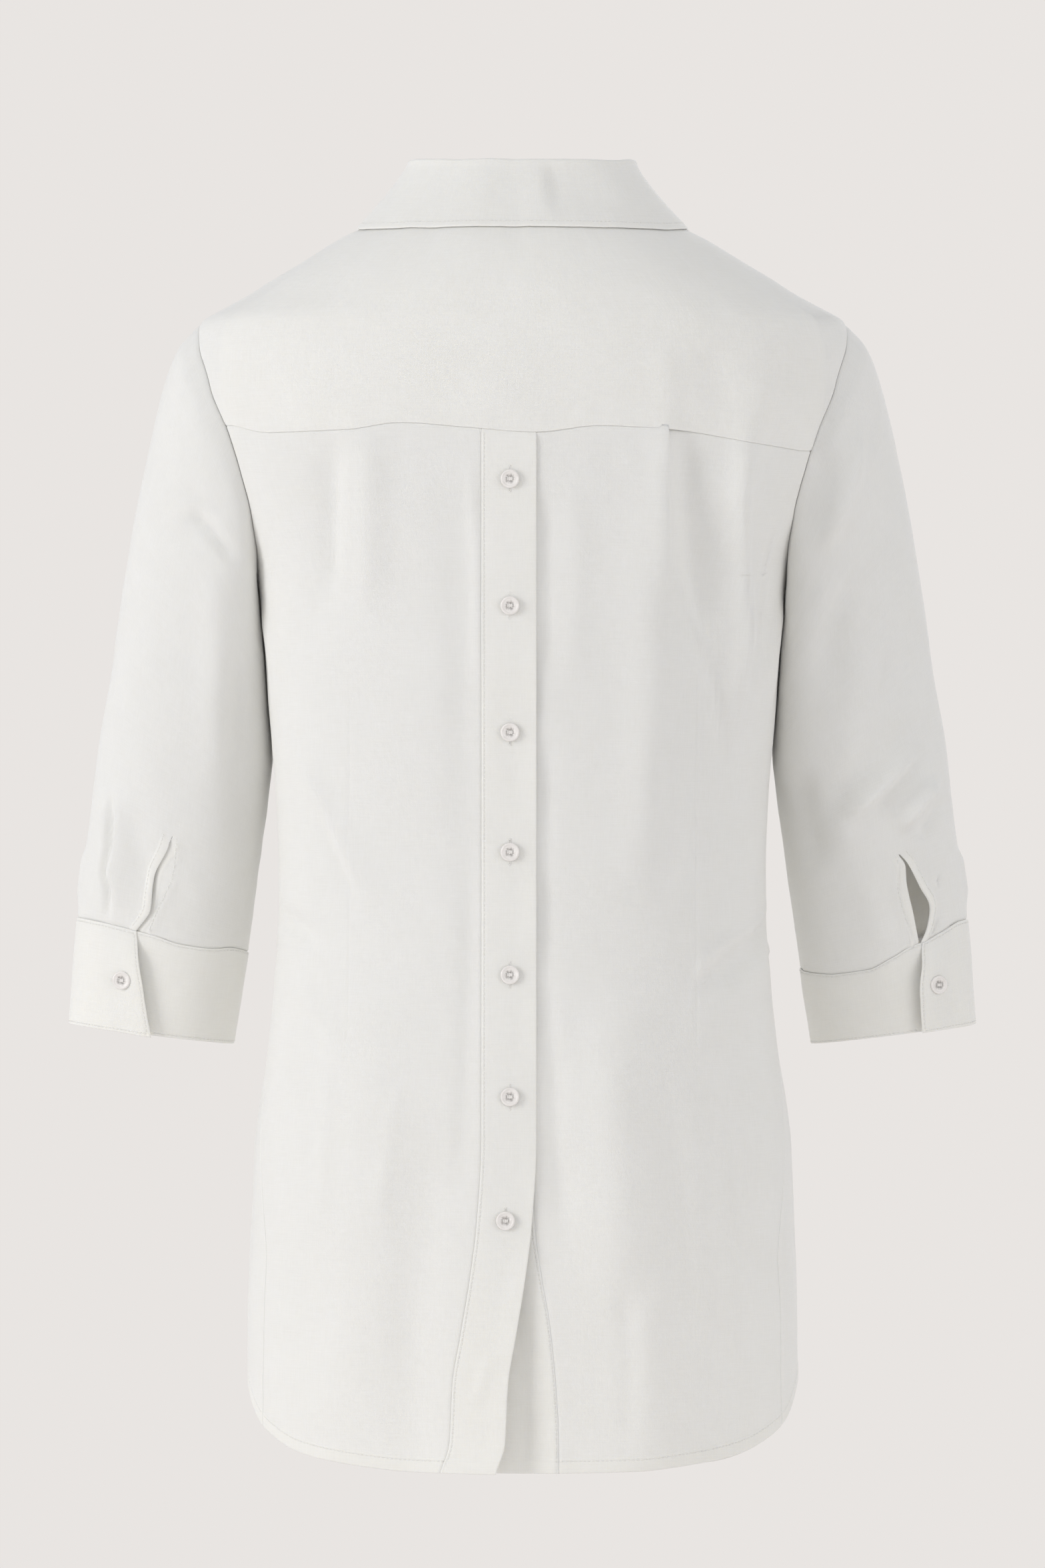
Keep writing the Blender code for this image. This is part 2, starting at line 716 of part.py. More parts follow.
def yoke_armhole(side, corner_z):
    """The yoke's part of the armhole, from its back seam over the top to its front edge."""
    middle = (SHOULDER_TOP_Z + UNDERARM_Z) / 2
    half = (SHOULDER_TOP_Z - UNDERARM_Z) / 2
    first = math.acos((corner_z - middle) / half)
    last = math.acos((SHOULDER_SEAM_Z - middle) / half)
    z_back = middle + half * np.cos(np.linspace(first, 0, YOKE_ARM_POINTS))
    z_front = middle + half * np.cos(np.linspace(0, last, 3)[1:])
    u_back = armhole_u(z_back, front=False)
    u_front = armhole_u(z_front, front=True)
    return side * np.concatenate([u_back, u_front]), np.concatenate([z_back, z_front])


def make_yoke(back_edges, seam_u):
    arm = {side: yoke_armhole(side, back_edges[side][1][-1]) for side in (-1, 1)}
    u_mid = seam_u[1:-1]
    z_mid = np.full_like(u_mid, YOKE_SEAM[0].value)
    for _ in range(4):
        z_mid = yoke_z(u_mid, z_mid)
    u = np.concatenate([arm[-1][0][::-1], u_mid, arm[1][0]])
    low = np.concatenate([arm[-1][1][::-1], z_mid, arm[1][1]])
    share = np.linspace(0, 1, YOKE_ROWS + 1)[:, None]
    z = low + (neck_z(u, low) - low) * share
    body_piece("yoke", np.broadcast_to(u, z.shape), z, rise_none, ("start", "end", "top", "bottom"))
    return arm


# Sleeves and cuffs

SLEEVE_LINES = {
    key: column(SLEEVE, "share", key)
    for key in ("outer_x", "outer_z", "inner_x", "inner_z", "centre_y", "half_depth")
}


def sleeve_ring(side, share, angle):
    """Points of a sleeve's section; angle goes from the inner side by the back, in radians."""
    at = {key: line(share) for key, line in SLEEVE_LINES.items()}
    swing = -np.cos(angle)
    across = np.sign(swing) * np.abs(swing) ** SLEEVE_ROUNDNESS
    deep = -np.sign(np.sin(angle)) * np.abs(np.sin(angle)) ** SLEEVE_ROUNDNESS
    middle_x, middle_z = (at["outer_x"] + at["inner_x"]) / 2, (at["outer_z"] + at["inner_z"]) / 2
    half_x, half_z = (at["outer_x"] - at["inner_x"]) / 2, (at["outer_z"] - at["inner_z"]) / 2
    x = side * (middle_x + half_x * across)
    y = at["centre_y"] + at["half_depth"] * deep
    z = middle_z + half_z * across
    return np.stack([x, y, z], axis=-1)


def sleeve_surface(side):
    def surface(angle, share):
        angle, share = np.broadcast_arrays(angle, share)
        point = sleeve_ring(side, share, angle)
        height = fold_height(SLEEVE_FOLDS[side], point[..., 0], point[..., 2])
        ends = smoothstep((share - 0.06) / 0.1) * smoothstep((0.86 - share) / 0.08)
        behind = smoothstep(np.sin(angle) / 0.3)
        step = 0.01
        along = sleeve_ring(side, share + step, angle) - sleeve_ring(side, share - step, angle)
        across = sleeve_ring(side, share, angle + step) - sleeve_ring(side, share, angle - step)
        out = side * unit(np.cross(along, across))
        return point + out * (height * ends * behind)[..., None]

    return surface


def sleeve_normal(side, surface, angle, share):
    step = 0.01
    along = surface(angle, share + step) - surface(angle, share - step)
    across = surface(angle + step, share) - surface(angle - step, share)
    return side * unit(np.cross(along, across))


def armhole_ring(side, back_edge, yoke_edge, front_edge):
    """The armhole's points from the underarm up the back, over the top and down the front, with
    the body's normal at each."""
    u = np.concatenate([back_edge[0][:-1], yoke_edge[0][:-1], front_edge[0][::-1]])
    z = np.concatenate([back_edge[1][:-1], yoke_edge[1][:-1], front_edge[1][::-1]])
    return body(u, z), normal_of(body, u, z)


def ring_angles(side, ring):
    """Each armhole point's angle in the sleeve's first section."""
    first = SLEEVE[0]
    middle_z = (first.outer_z + first.inner_z) / 2
    half_z = (first.outer_z - first.inner_z) / 2
    across = (ring[:, 2] - middle_z) / half_z
    deep = -(ring[:, 1] - first.centre_y) / first.half_depth
    angle = np.arctan2(deep, -across) % (2 * math.pi)
    angle[0], angle[-1] = 0.0, 2 * math.pi
    return angle


def make_sleeve(side, name, back_edge, yoke_edge, front_edge):
    ring, body_normal = armhole_ring(side, back_edge, yoke_edge, front_edge)
    angle = ring_angles(side, ring)
    slit = math.radians(SLIT_ANGLE[side])
    cut = int(np.argmin(np.abs(angle - slit)))
    order = np.concatenate([np.arange(cut, len(ring) - 1), np.arange(0, cut + 1)])
    ring, body_normal = ring[order], body_normal[order]
    turned = np.where(np.arange(len(order)) >= len(ring) - 1 - cut, 2 * math.pi, 0.0)
    start_angle = angle[order] + turned
    even = slit + np.linspace(0, 2 * math.pi, len(ring))
    shares = np.concatenate([[0, 0.025, 0.06, 0.11], np.linspace(0.17, SLIT_START, 8)])
    shares = np.concatenate([shares, np.linspace(SLIT_START, CUFF_START, 5)[1:]])
    surface = sleeve_surface(side)
    outer, inner = [], []
    first = surface(start_angle, 0.0)
    for share in shares:
        blend = smoothstep(share / 0.45)
        turn = start_angle * (1 - blend) + even * blend
        own = surface(turn, share) + (ring - first) * float(1 - smoothstep(share / 0.12))
        outer.append(own)
        inner.append(own - WALL * sleeve_normal(side, surface, turn, np.full_like(turn, share)))
    into_hole = seam_direction(ring, body_normal)
    inward = unit(inner[0] - outer[0])
    against = np.minimum(np.sum(inward * into_hole, axis=1, keepdims=True), 0)
    inward = unit(inward - against * into_hole)
    outer[0] = ring + into_hole * SEAM_GAP
    inner[0] = outer[0] + WALL * inward
    outer, inner = np.array(outer), np.array(inner)
    open_rows = [i for i, share in enumerate(shares) if share > SLIT_START + 0.001]
    for count, i in enumerate(open_rows):
        width = SLIT_HALF_WIDTH * math.sin(math.pi * (count + 1) / (len(open_rows) + 0.6))
        for grid in (outer, inner):
            shift = unit(grid[i, 1] - grid[i, 0]) * width
            grid[i, 0] += shift
            grid[i, 1] += shift * 0.45
            shift = unit(grid[i, -2] - grid[i, -1]) * width
            grid[i, -1] += shift
            grid[i, -2] += shift * 0.45
    joins = [i for i in range(len(shares)) if i not in open_rows]
    wall(name, outer, inner, joins)


def seam_direction(ring, normal):
    """The direction in the body's surface that points into the armhole."""
    closed = ring[:-1]
    along = np.roll(closed, -1, axis=0) - np.roll(closed, 1, axis=0)
    along = np.concatenate([along, along[:1]])
    direction = unit(np.cross(normal, along))
    to_middle = closed.mean(axis=0) - ring
    flip = np.sign(np.sum(direction * to_middle, axis=1, keepdims=True))
    return direction * flip


def make_cuff(side, name):
    """A cuff's strip goes round from its free edge and ends under itself."""
    surface = sleeve_surface(side)
    edge = math.radians(SLIT_ANGLE[side])
    lap = math.radians(CUFF_LAP_DEG)
    angle = edge + np.linspace(0, 2 * math.pi + lap, 25)
    share = np.linspace(CUFF_START + 0.0008, 1.0, 3)[:, None]
    angle_grid, share_grid = np.broadcast_arrays(angle, share)
    normal = sleeve_normal(side, surface, angle_grid, share_grid)
    over = 1 - smoothstep((angle_grid - edge - lap - 0.12) / 0.5)
    outer = surface(angle_grid, share_grid) + normal * (over * CUFF_LAP_RISE)[..., None]
    wall(name, outer, outer - WALL * normal)
    place = edge + lap * 0.5
    middle = (CUFF_START + 1) / 2
    at = surface(np.array(place), np.array(middle))
    out = sleeve_normal(side, surface, np.array(place), np.array(middle))
    make_button(name + "_button", at + out * (CUFF_LAP_RISE + SEAM_GAP), out)


# Collar


def neck_points(u):
    return body(u, neck_curve(np.abs((u + 1) % 2 - 1)))


def stand_rows(u, rise):
    """The stand's lower and upper edges."""
    low = neck_points(u)
    around = unit(low * np.array([1.0, 1.0, 0.0]))
    high = low * np.array([STAND_LEAN, STAND_LEAN, 1.0])
    front = smoothstep((np.abs((u + 1) % 2 - 1) - 0.5) / 0.5)
    high[:, 2] += STAND_HEIGHT * (1 - 0.1 * front)
    low[:, 2] += COLLAR_LIFT
    out = around * rise[:, None]
    return low + out, high + out, around


def make_stand():
    u = np.linspace(-1, 1, COLLAR_COLUMNS + 1)
    u = np.concatenate([[-1 - STAND_LAP_U], u, [1 + STAND_LAP_U]])
    rise = STAND_LAP_RISE * smoothstep((u - 0.86) / 0.07)
    low, high, around = stand_rows(u, rise)
    share = np.linspace(0, 1, 3)[:, None, None]
    outer = low + (high - low) * share + around * STAND_BULGE * np.sin(math.pi * share)
    wall("collar_stand", outer, outer - WALL * around)
    at, out = outer[1, -2], around[-2]
    make_button("collar_button", at + out * 3 * SEAM_GAP, out)


def make_fall():
    """The fall starts as a lid over the stand, turns and lies down over the yoke."""
    along = np.clip(np.linspace(-1, 1, COLLAR_COLUMNS + 1), -FALL_END_U, FALL_END_U)
    _, top, around = stand_rows(along, np.zeros_like(along))
    edge_u = np.sign(along) * smooth([(e.along, e.u) for e in FALL_EDGE])(np.abs(along))
    edge_z = smooth([(e.along, e.z) for e in FALL_EDGE])(np.abs(along))
    edge = body(edge_u, edge_z, np.full_like(edge_z, FALL_RISE))
    up = np.array([0.0, 0.0, 1.0])
    lid = top + around * FALL_LID[0] + up * FALL_LID[1]
    roll = top + around * FALL_FOLD[0] + up * FALL_FOLD[1]
    rows = [lid, roll]
    for share in (0.3, 0.65, 1.0):
        hollow = FALL_HOLLOW * math.sin(math.pi * share**0.8)
        rows.append(roll + (edge - roll) * share - (around * 0.8 + up * 0.6) * hollow)
    outer = np.array(rows)
    slope = np.gradient(outer, axis=0)
    run = np.gradient(outer, axis=1)
    normal = unit(np.cross(run, -slope))
    normal[0] = up
    normal[1] = unit(around + up * 0.9)
    if np.sum(normal[2] * around) < 0:
        normal[2:] *= -1
    wall("collar_fall", outer, outer - WALL * normal)


# Buttons


def make_button(name, base, direction):
    """A round button with a raised rim, its back on base."""
    sides = 10
    profile = [
        (BUTTON_RADIUS * 0.9, 0.0),
        (BUTTON_RADIUS, BUTTON_HEIGHT * 0.55),
        (BUTTON_RADIUS * 0.84, BUTTON_HEIGHT),
        (BUTTON_RADIUS * 0.66, BUTTON_HEIGHT * 0.68),
    ]
    turn = Vector((0, 0, 1)).rotation_difference(Vector(direction))
    points, faces = [], []
    for radius, height in profile:
        for k in range(sides):
            angle = 2 * math.pi * k / sides
            local = Vector((radius * math.cos(angle), radius * math.sin(angle), height))
            points.append(Vector(base) + turn @ local)
    for ring in range(len(profile) - 1):
        for k in range(sides):
            low, high = ring * sides, (ring + 1) * sides
            after = (k + 1) % sides
            faces.append((low + k, low + after, high + after, high + k))
    last = (len(profile) - 1) * sides
    faces.append(tuple(range(sides))[::-1])
    faces.append(tuple(last + k for k in range(sides)))
    add_object(name, points, faces, finish(name + "_shell", BUTTON_COLOUR, BUTTON_ROUGHNESS))


def make_body_button(name, u, z, rise):
    u, z = np.array(u), np.array(z)
    point, out = body(u, z, np.array(rise + SEAM_GAP)), normal_of(body, u, z)
    make_button(name, point, out)


def make_buttons():
    for count, z in enumerate(BACK_BUTTON_Z, start=1):
        x = BACK_BUTTON_X + float(placket_swing(z))
        rise = BAND_RISE + float(lift_placket(x, z))
        make_body_button(f"back_button_{count}", float(back_u(x, z)), z, rise)
    for count in range(FRONT_BUTTONS):
        z = FRONT_BUTTON_TOP_Z - FRONT_BUTTON_STEP * count
        make_body_button(f"front_button_{count + 1}", 1.0, z, BAND_RISE)


def main():
    for thing in list(bpy.data.objects):
        bpy.data.objects.remove(thing)
    back_edges, seam_u = make_back()
    make_back_bands()
    front_edges = make_front()
    make_front_bands()
    yoke_edges = make_yoke(back_edges, seam_u)
    for side, name in ((-1, "left"), (1, "right")):
        edges = (back_edges[side], yoke_edges[side], front_edges[side])
        make_sleeve(side, "sleeve_" + name, *edges)
        make_cuff(side, "cuff_" + name)
    make_stand()
    make_fall()
    make_buttons()


main()
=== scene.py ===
"""The looks of the linen blouse: its cloth, sewing and buttons, and the light and camera.

Metres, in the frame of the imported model: +Z up, the back faces -Y, the wearer's right is +X.
Each cloth piece is a thin shell on the form of the solid that it replaces, with finer folds.

A place on the body is (u, z): z is the height, and u goes round the garment at that height,
0 at the centre back, 0.5 at the side and 1 at the centre front, negative on the left.
A place on a sleeve is (angle, share): the angle goes round it from its inner side by the back,
and the share goes down it from the armhole to the cuff's end.
"""

import math
from collections import namedtuple

import bpy
import numpy as np
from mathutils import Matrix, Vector
from mathutils.geometry import delaunay_2d_cdt


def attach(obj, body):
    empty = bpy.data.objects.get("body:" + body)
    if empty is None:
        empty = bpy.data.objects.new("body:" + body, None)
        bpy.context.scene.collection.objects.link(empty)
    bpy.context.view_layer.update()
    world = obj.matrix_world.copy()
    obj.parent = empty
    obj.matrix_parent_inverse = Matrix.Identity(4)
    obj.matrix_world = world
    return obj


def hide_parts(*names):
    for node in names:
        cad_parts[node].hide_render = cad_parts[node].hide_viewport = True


# Cloth
CLOTH = 0.0006  # one layer
DOUBLE = 0.0011  # turned or doubled cloth
CELL = 0.0030  # of the panels' meshes
SLEEVE_CELL = 0.0023
FINE_CELL = 0.0016  # of small pieces
EDGE_THINNED = 0.3  # a free edge loses this share of its thickness on either face

# Driving dimensions, as in the solids
ROUNDNESS = 2.3  # exponent of the body's sections, 2 is an ellipse
HALF_ROUND = 0.45  # u from 0 to 1 is about this many metres of cloth
UNDERARM_Z = -0.215
SHOULDER_TOP_Z = -0.057
ARMHOLE_MIDDLE_Z = (SHOULDER_TOP_Z + UNDERARM_Z) / 2
ARMHOLE_HALF_HEIGHT = (SHOULDER_TOP_Z - UNDERARM_Z) / 2
ARMHOLE_HALF_DEPTH = 0.058
SHOULDER_SEAM_Z = -0.062
HEM_LEVEL = -0.765
FRONT_HEM_DROP = 0.016
BAND_WIDTH = 0.0335
BAND_RISE = 0.0006
LAP_DROP = 0.0011
LAP_HOLLOW = 0.0050  # of the underlap where the back is parted
LAP_BLEND = 0.045
UNDERLAP_INSET = 0.0027  # from the placket's free edge to the underlap's seam
UNDERLAP_NARROWER = 0.0040
UNDERLAP_HIDDEN = 0.0120  # it is this much wider under the placket, at the hem
PLACKET_EDGE_X = 0.0085
PLACKET_GAPE = 0.0010
PLACKET_LIFT, FRONT_LIFT = 0.0085, 0.0060  # a parted edge stands out this far
LIFT_REACH = 0.045
FRONT_EDGE_X = 0.017
COLLAR_LIFT = 0.0008
STAND_HEIGHT = 0.0295
STAND_LEAN = 0.905
COLLAR_CORNER = 0.0014  # the collar is this much lower beside the neck
STAND_LAP_U = 0.045
FALL_END_U = 0.985
STAND_HALF, FALL_HALF = 0.21, 0.22  # metres of cloth from the middle of the back to an end
STAND_BULGE, STAND_LAP_RISE = 0.0012, 0.0017
STAND_ROWS = (0, 0.0005, 0.0014, 0.0020)
FALL_HEIGHT, FALL_RISE, FALL_BULGE = 0.048, 0.0015, 0.0010
FALL_ROWS = (0, 0.0006, 0.0016, 0.0030, 0.0042, 0.0054)
SLEEVE_LENGTH = 0.45
SLEEVE_RADIUS = 0.054
CUFF_START = 0.87
CUFF_LAP_DEG = 26.0
SLIT_START = 0.70
SLIT_ANGLE = {1: 113.0, -1: 103.0}

# Sewing
HEM_WIDTH = 0.0085
HEM_RISE, HEM_THICKER, HEM_BLEND = 0.00035, 0.0007, 0.0008
SEWN_DEPTH, SEWN_WIDTH = 0.00022, 0.0006  # how sewing pulls the cloth in
SEAM_LAP = 0.0025  # a piece goes on this far under the one sewn over it
SEAM_DIP = 0.0004
STITCH_PITCH = 0.0027
STITCH_LENGTH = 0.0021
THREAD_RADIUS = 0.00021
THREAD_FLAT = 0.75  # its thickness is this share of its width
STITCH_TAPER = 0.2  # share of a stitch that narrows to its end
EDGE_STITCH = 0.0016  # from a sewn edge
HEM_STITCH = HEM_WIDTH - 0.0012  # above the hem
SIDE_HEM_Z = -0.720  # the side seams' ends
PLACKET_SEWN_Z, UNDERLAP_SEWN_Z = (-0.757, -0.1295), (-0.764, -0.600)
FRONT_SEWN_Z = (-0.770, -0.054)
SEW_OUT = 0.0001  # a stitch lies this far out on its cloth
UNDER_YOKE = 0.0012  # pieces sewn under the yoke sink from this far below its seam

# Buttons
BACK_BUTTON_X = -0.0076
BACK_BUTTON_Z = [-0.158, -0.235, -0.312, -0.385, -0.460, -0.534, -0.609]
FRONT_BUTTON_TOP_Z = -0.088
FRONT_BUTTON_STEP = 0.078
FRONT_BUTTONS = 7
BUTTONHOLE_LENGTH = 0.0150
BUTTONHOLE_WIDTH = 0.0015
BUTTONHOLE_PITCH = 0.00030
BUTTONHOLE_SLIT = 0.00025  # half its width
BUTTONHOLE_THREAD = 0.00017

# Camera, in the middle of the photo's height and straight behind the blouse
CAMERA_DISTANCE = 5.6
CAMERA_Z = -0.3436
VIEW_HEIGHT = 0.9737  # of the picture, at the blouse's middle
PHOTO_SCALE = 1.021  # the back is nearer the camera than the middle, and looks this much larger

# Sections of the body, from the hem to the neck
Section = namedtuple("Section", "z half_width back_depth front_depth")
BODY = [Section(*row) for row in (
    (-0.790, 0.1690, 0.1280, 0.1260), (-0.730, 0.1705, 0.1270, 0.1255),
    (-0.680, 0.1703, 0.1260, 0.1240), (-0.627, 0.1680, 0.1240, 0.1220),
    (-0.577, 0.1655, 0.1215, 0.1190), (-0.540, 0.1620, 0.1185, 0.1160),
    (-0.505, 0.1580, 0.1150, 0.1130), (-0.466, 0.1536, 0.1110, 0.1100),
    (-0.428, 0.1510, 0.1080, 0.1080), (-0.395, 0.1510, 0.1075, 0.1080),
    (-0.350, 0.1530, 0.1090, 0.1120), (-0.313, 0.1560, 0.1115, 0.1170),
    (-0.250, 0.1605, 0.1150, 0.1220), (-0.209, 0.1660, 0.1165, 0.1210),
    (-0.180, 0.1775, 0.1175, 0.1170), (-0.150, 0.1910, 0.1180, 0.1080),
    (-0.125, 0.2000, 0.1180, 0.0980), (-0.100, 0.2070, 0.1170, 0.0860),
    (-0.080, 0.2070, 0.1155, 0.0750), (-0.066, 0.2040, 0.1135, 0.0665),
    (-0.057, 0.1990, 0.1120, 0.0610), (-0.050, 0.1870, 0.1100, 0.0570),
    (-0.042, 0.1720, 0.1080, 0.0525), (-0.031, 0.1550, 0.1030, 0.0470),
    (-0.022, 0.1400, 0.0980, 0.0420), (-0.0145, 0.1280, 0.0930, 0.0380),
    (-0.006, 0.1140, 0.0860, 0.0330), (0.002, 0.0980, 0.0760, 0.0260),
    (0.008, 0.0840, 0.0660, 0.0190), (0.012, 0.0740, 0.0600, 0.0140),
    (0.024, 0.0520, 0.0460, 0.0060),
)]

# Edges of the body, as (u, z)
HEM = [
    (0.000, -0.7625), (0.145, -0.7615), (0.205, -0.7590), (0.270, -0.7551), (0.310, -0.7515),
    (0.353, -0.7443), (0.390, -0.7370), (0.435, -0.7235), (0.465, -0.7155), (0.485, -0.7122),
    (0.500, -0.7115),
]
NECKLINE = [
    (0.00, 0.0080), (0.25, 0.0085), (0.40, 0.0105), (0.50, 0.0120), (0.55, 0.0100), (0.67, 0.0020),
    (0.82, -0.0220), (0.92, -0.0420), (0.97, -0.0490), (1.00, -0.0500),
]
# The seam under the yoke, as (x, z)
YOKE_SEAM = [
    (-0.178, -0.1235), (-0.156, -0.1285), (-0.108, -0.1275), (-0.075, -0.1235), (-0.034, -0.1265),
    (0.008, -0.1295), (0.047, -0.1255), (0.089, -0.1275), (0.136, -0.1342), (0.170, -0.1390),
]
# The side seams, as (z, u)
SIDE_SEAM = [
    (-0.790, 0.390), (-0.740, 0.385), (-0.644, 0.385), (-0.560, 0.440), (-0.430, 0.500),
    (-0.215, 0.500),
]
# How far each free edge swings from its closed place, as (z, x)
PLACKET_SWING = [
    (-0.790, -0.0280), (-0.763, -0.0245), (-0.744, -0.0190), (-0.708, -0.0172), (-0.679, -0.0125),
    (-0.645, -0.0070), (-0.613, -0.0030), (-0.560, 0.0000), (0.000, 0.0000),
]
UNDERLAP_SWING = [
    (-0.790, 0.0168), (-0.736, 0.0162), (-0.713, 0.0150), (-0.672, 0.0110), (-0.643, 0.0060),
    (-0.614, 0.0018), (-0.575, 0.0000), (0.000, 0.0000),
]
FRONT_SWING = [
    (-0.790, 1.050), (-0.770, 0.980), (-0.700, 0.560), (-0.640, 0.240), (-0.580, 0.030),
    (-0.560, 0.000), (0.000, 0.000),
]
FRONT_OVER_SWING_X = 0.046
FRONT_UNDER_SWING_X = -0.016

# Broad folds, as in the solids: from one end to the other, troughs where the height is negative
Fold = namedtuple("Fold", "x0 z0 x1 z1 width height")
BACK_FOLDS = [
    Fold(0.090, -0.126, 0.087, -0.225, 0.009, 0.0036),
    Fold(0.104, -0.130, 0.108, -0.270, 0.011, -0.0026),
    Fold(-0.098, -0.124, -0.096, -0.245, 0.015, 0.0026),
    Fold(-0.122, -0.130, -0.128, -0.260, 0.011, -0.0018),
    Fold(0.141, -0.092, 0.139, -0.325, 0.015, 0.0018),
    Fold(-0.034, -0.165, -0.036, -0.420, 0.010, -0.0016),
    Fold(0.152, -0.427, 0.100, -0.475, 0.007, -0.0032),
    Fold(0.150, -0.450, 0.108, -0.500, 0.012, 0.0020),
    Fold(-0.140, -0.322, -0.088, -0.412, 0.011, 0.0026),
    Fold(-0.150, -0.426, -0.126, -0.446, 0.007, -0.0022),
    Fold(-0.092, -0.480, -0.112, -0.775, 0.023, 0.0046),
    Fold(0.062, -0.470, 0.078, -0.775, 0.022, 0.0042),
    Fold(0.128, -0.500, 0.138, -0.770, 0.017, -0.0040),
    Fold(-0.056, -0.560, -0.070, -0.775, 0.014, -0.0030),
]
FRONT_FOLDS = [
    Fold(0.070, -0.230, 0.084, -0.775, 0.026, 0.0050),
    Fold(-0.074, -0.240, -0.090, -0.775, 0.025, 0.0048),
    Fold(0.118, -0.300, 0.128, -0.765, 0.015, -0.0030),
    Fold(-0.116, -0.330, -0.124, -0.765, 0.016, -0.0030),
    Fold(0.040, -0.430, 0.046, -0.775, 0.014, -0.0024),
    Fold(-0.042, -0.400, -0.046, -0.775, 0.014, -0.0024),
]

# Creases finer than the folds: a path of places, width, height and lean. A lean above 0 makes the
# side to the right of the path, seen along it, the steeper one. Those of the back are at (x, z)
# as the photo shows them.
Crease = namedtuple("Crease", "path width height lean", defaults=[0.0])
BACK_CREASES = [Crease(*row) for row in (
    # under the pleats
    (((0.096, -0.112), (0.101, -0.165), (0.109, -0.212), (0.119, -0.265)), 0.0105, -0.0062),
    (((0.092, -0.202), (0.101, -0.224), (0.110, -0.246), (0.126, -0.284)), 0.0042, 0.0017, 0.3),
    (((0.142, -0.100), (0.133, -0.160), (0.133, -0.205), (0.136, -0.245), (0.129, -0.325)),
     0.0098, 0.0108, 0.2),
    (((0.112, -0.246), (0.124, -0.292), (0.127, -0.345)), 0.0075, -0.0034),
    (((-0.095, -0.116), (-0.096, -0.175), (-0.100, -0.250)), 0.0085, 0.0024, 0.4),
    (((-0.115, -0.116), (-0.119, -0.165), (-0.124, -0.240)), 0.0080, -0.0040),
    # beside the placket
    (((-0.034, -0.126), (-0.0305, -0.182), (-0.0285, -0.236), (-0.0280, -0.300)), 0.0034, 0.0015),
    (((-0.048, -0.130), (-0.045, -0.195), (-0.040, -0.254), (-0.037, -0.360)), 0.0110, -0.0012),
    (((-0.032, -0.360), (-0.033, -0.440), (-0.036, -0.540), (-0.042, -0.640)), 0.0065, -0.0017),
    (((0.0155, -0.150), (0.0150, -0.200), (0.0165, -0.290)), 0.0050, -0.0016),
    (((0.0160, -0.280), (0.0150, -0.400), (0.0175, -0.560)), 0.0050, -0.0013),
    (((0.029, -0.135), (0.034, -0.200), (0.030, -0.300)), 0.0080, 0.0014),
    (((0.083, -0.105), (0.081, -0.200), (0.080, -0.300), (0.074, -0.440)), 0.0175, 0.0050),
    (((0.090, -0.290), (0.092, -0.360), (0.088, -0.430)), 0.0100, -0.0017),
    (((0.021, -0.470), (0.028, -0.520), (0.026, -0.590)), 0.0060, 0.0009),
    # waist
    (((0.166, -0.416), (0.145, -0.434), (0.124, -0.445), (0.111, -0.458), (0.100, -0.493)),
     0.0045, 0.0030, 0.4),
    (((0.166, -0.426), (0.148, -0.446), (0.129, -0.461), (0.116, -0.480)), 0.0075, -0.0042),
    (((0.130, -0.372), (0.118, -0.402), (0.112, -0.430)), 0.0070, 0.0009),
    (((-0.137, -0.320), (-0.121, -0.363), (-0.105, -0.400), (-0.087, -0.428)),
     0.0065, 0.0020, 0.2),
    (((-0.131, -0.345), (-0.119, -0.382), (-0.100, -0.420)), 0.0065, -0.0019),
    (((-0.158, -0.419), (-0.140, -0.431), (-0.124, -0.442)), 0.0045, -0.0021),
    (((-0.156, -0.433), (-0.140, -0.444), (-0.122, -0.452)), 0.0045, 0.0016),
    (((-0.142, -0.468), (-0.122, -0.490), (-0.108, -0.525)), 0.0075, 0.0014),
    # below the waist
    (((-0.121, -0.500), (-0.122, -0.560), (-0.127, -0.640)), 0.0065, 0.0016),
    (((-0.075, -0.520), (-0.083, -0.566), (-0.090, -0.630)), 0.0060, 0.0011),
    (((-0.070, -0.560), (-0.074, -0.640), (-0.070, -0.730)), 0.0090, -0.0007),
    (((0.048, -0.480), (0.054, -0.590), (0.054, -0.700)), 0.0160, 0.0040),
    (((0.020, -0.480), (0.023, -0.560), (0.029, -0.640)), 0.0080, -0.0016),
    (((0.060, -0.640), (0.066, -0.700), (0.064, -0.770)), 0.0060, -0.0013),
    (((0.084, -0.510), (0.098, -0.600), (0.104, -0.710)), 0.0080, -0.0019),
    (((0.096, -0.640), (0.076, -0.674), (0.064, -0.700)), 0.0080, 0.0006),
    (((0.018, -0.500), (0.021, -0.570), (0.028, -0.640)), 0.0095, -0.0020),
    (((0.130, -0.540), (0.138, -0.640), (0.141, -0.725)), 0.0060, 0.0014),
    # yoke
    (((0.0107, -0.103), (0.0107, -0.128)), 0.0012, 0.0004, 0.6),
    (((-0.0240, -0.114), (-0.0240, -0.128)), 0.0012, 0.0003),
    (((0.086, -0.065), (0.090, -0.134)), 0.0070, 0.0014),
    (((0.116, -0.066), (0.125, -0.116)), 0.0100, -0.0018),
    (((0.150, -0.084), (0.147, -0.130)), 0.0080, 0.0014),
    (((-0.104, -0.096), (-0.106, -0.126)), 0.0070, 0.0006),
    (((0.040, -0.100), (0.038, -0.124)), 0.0050, 0.0004),
)]
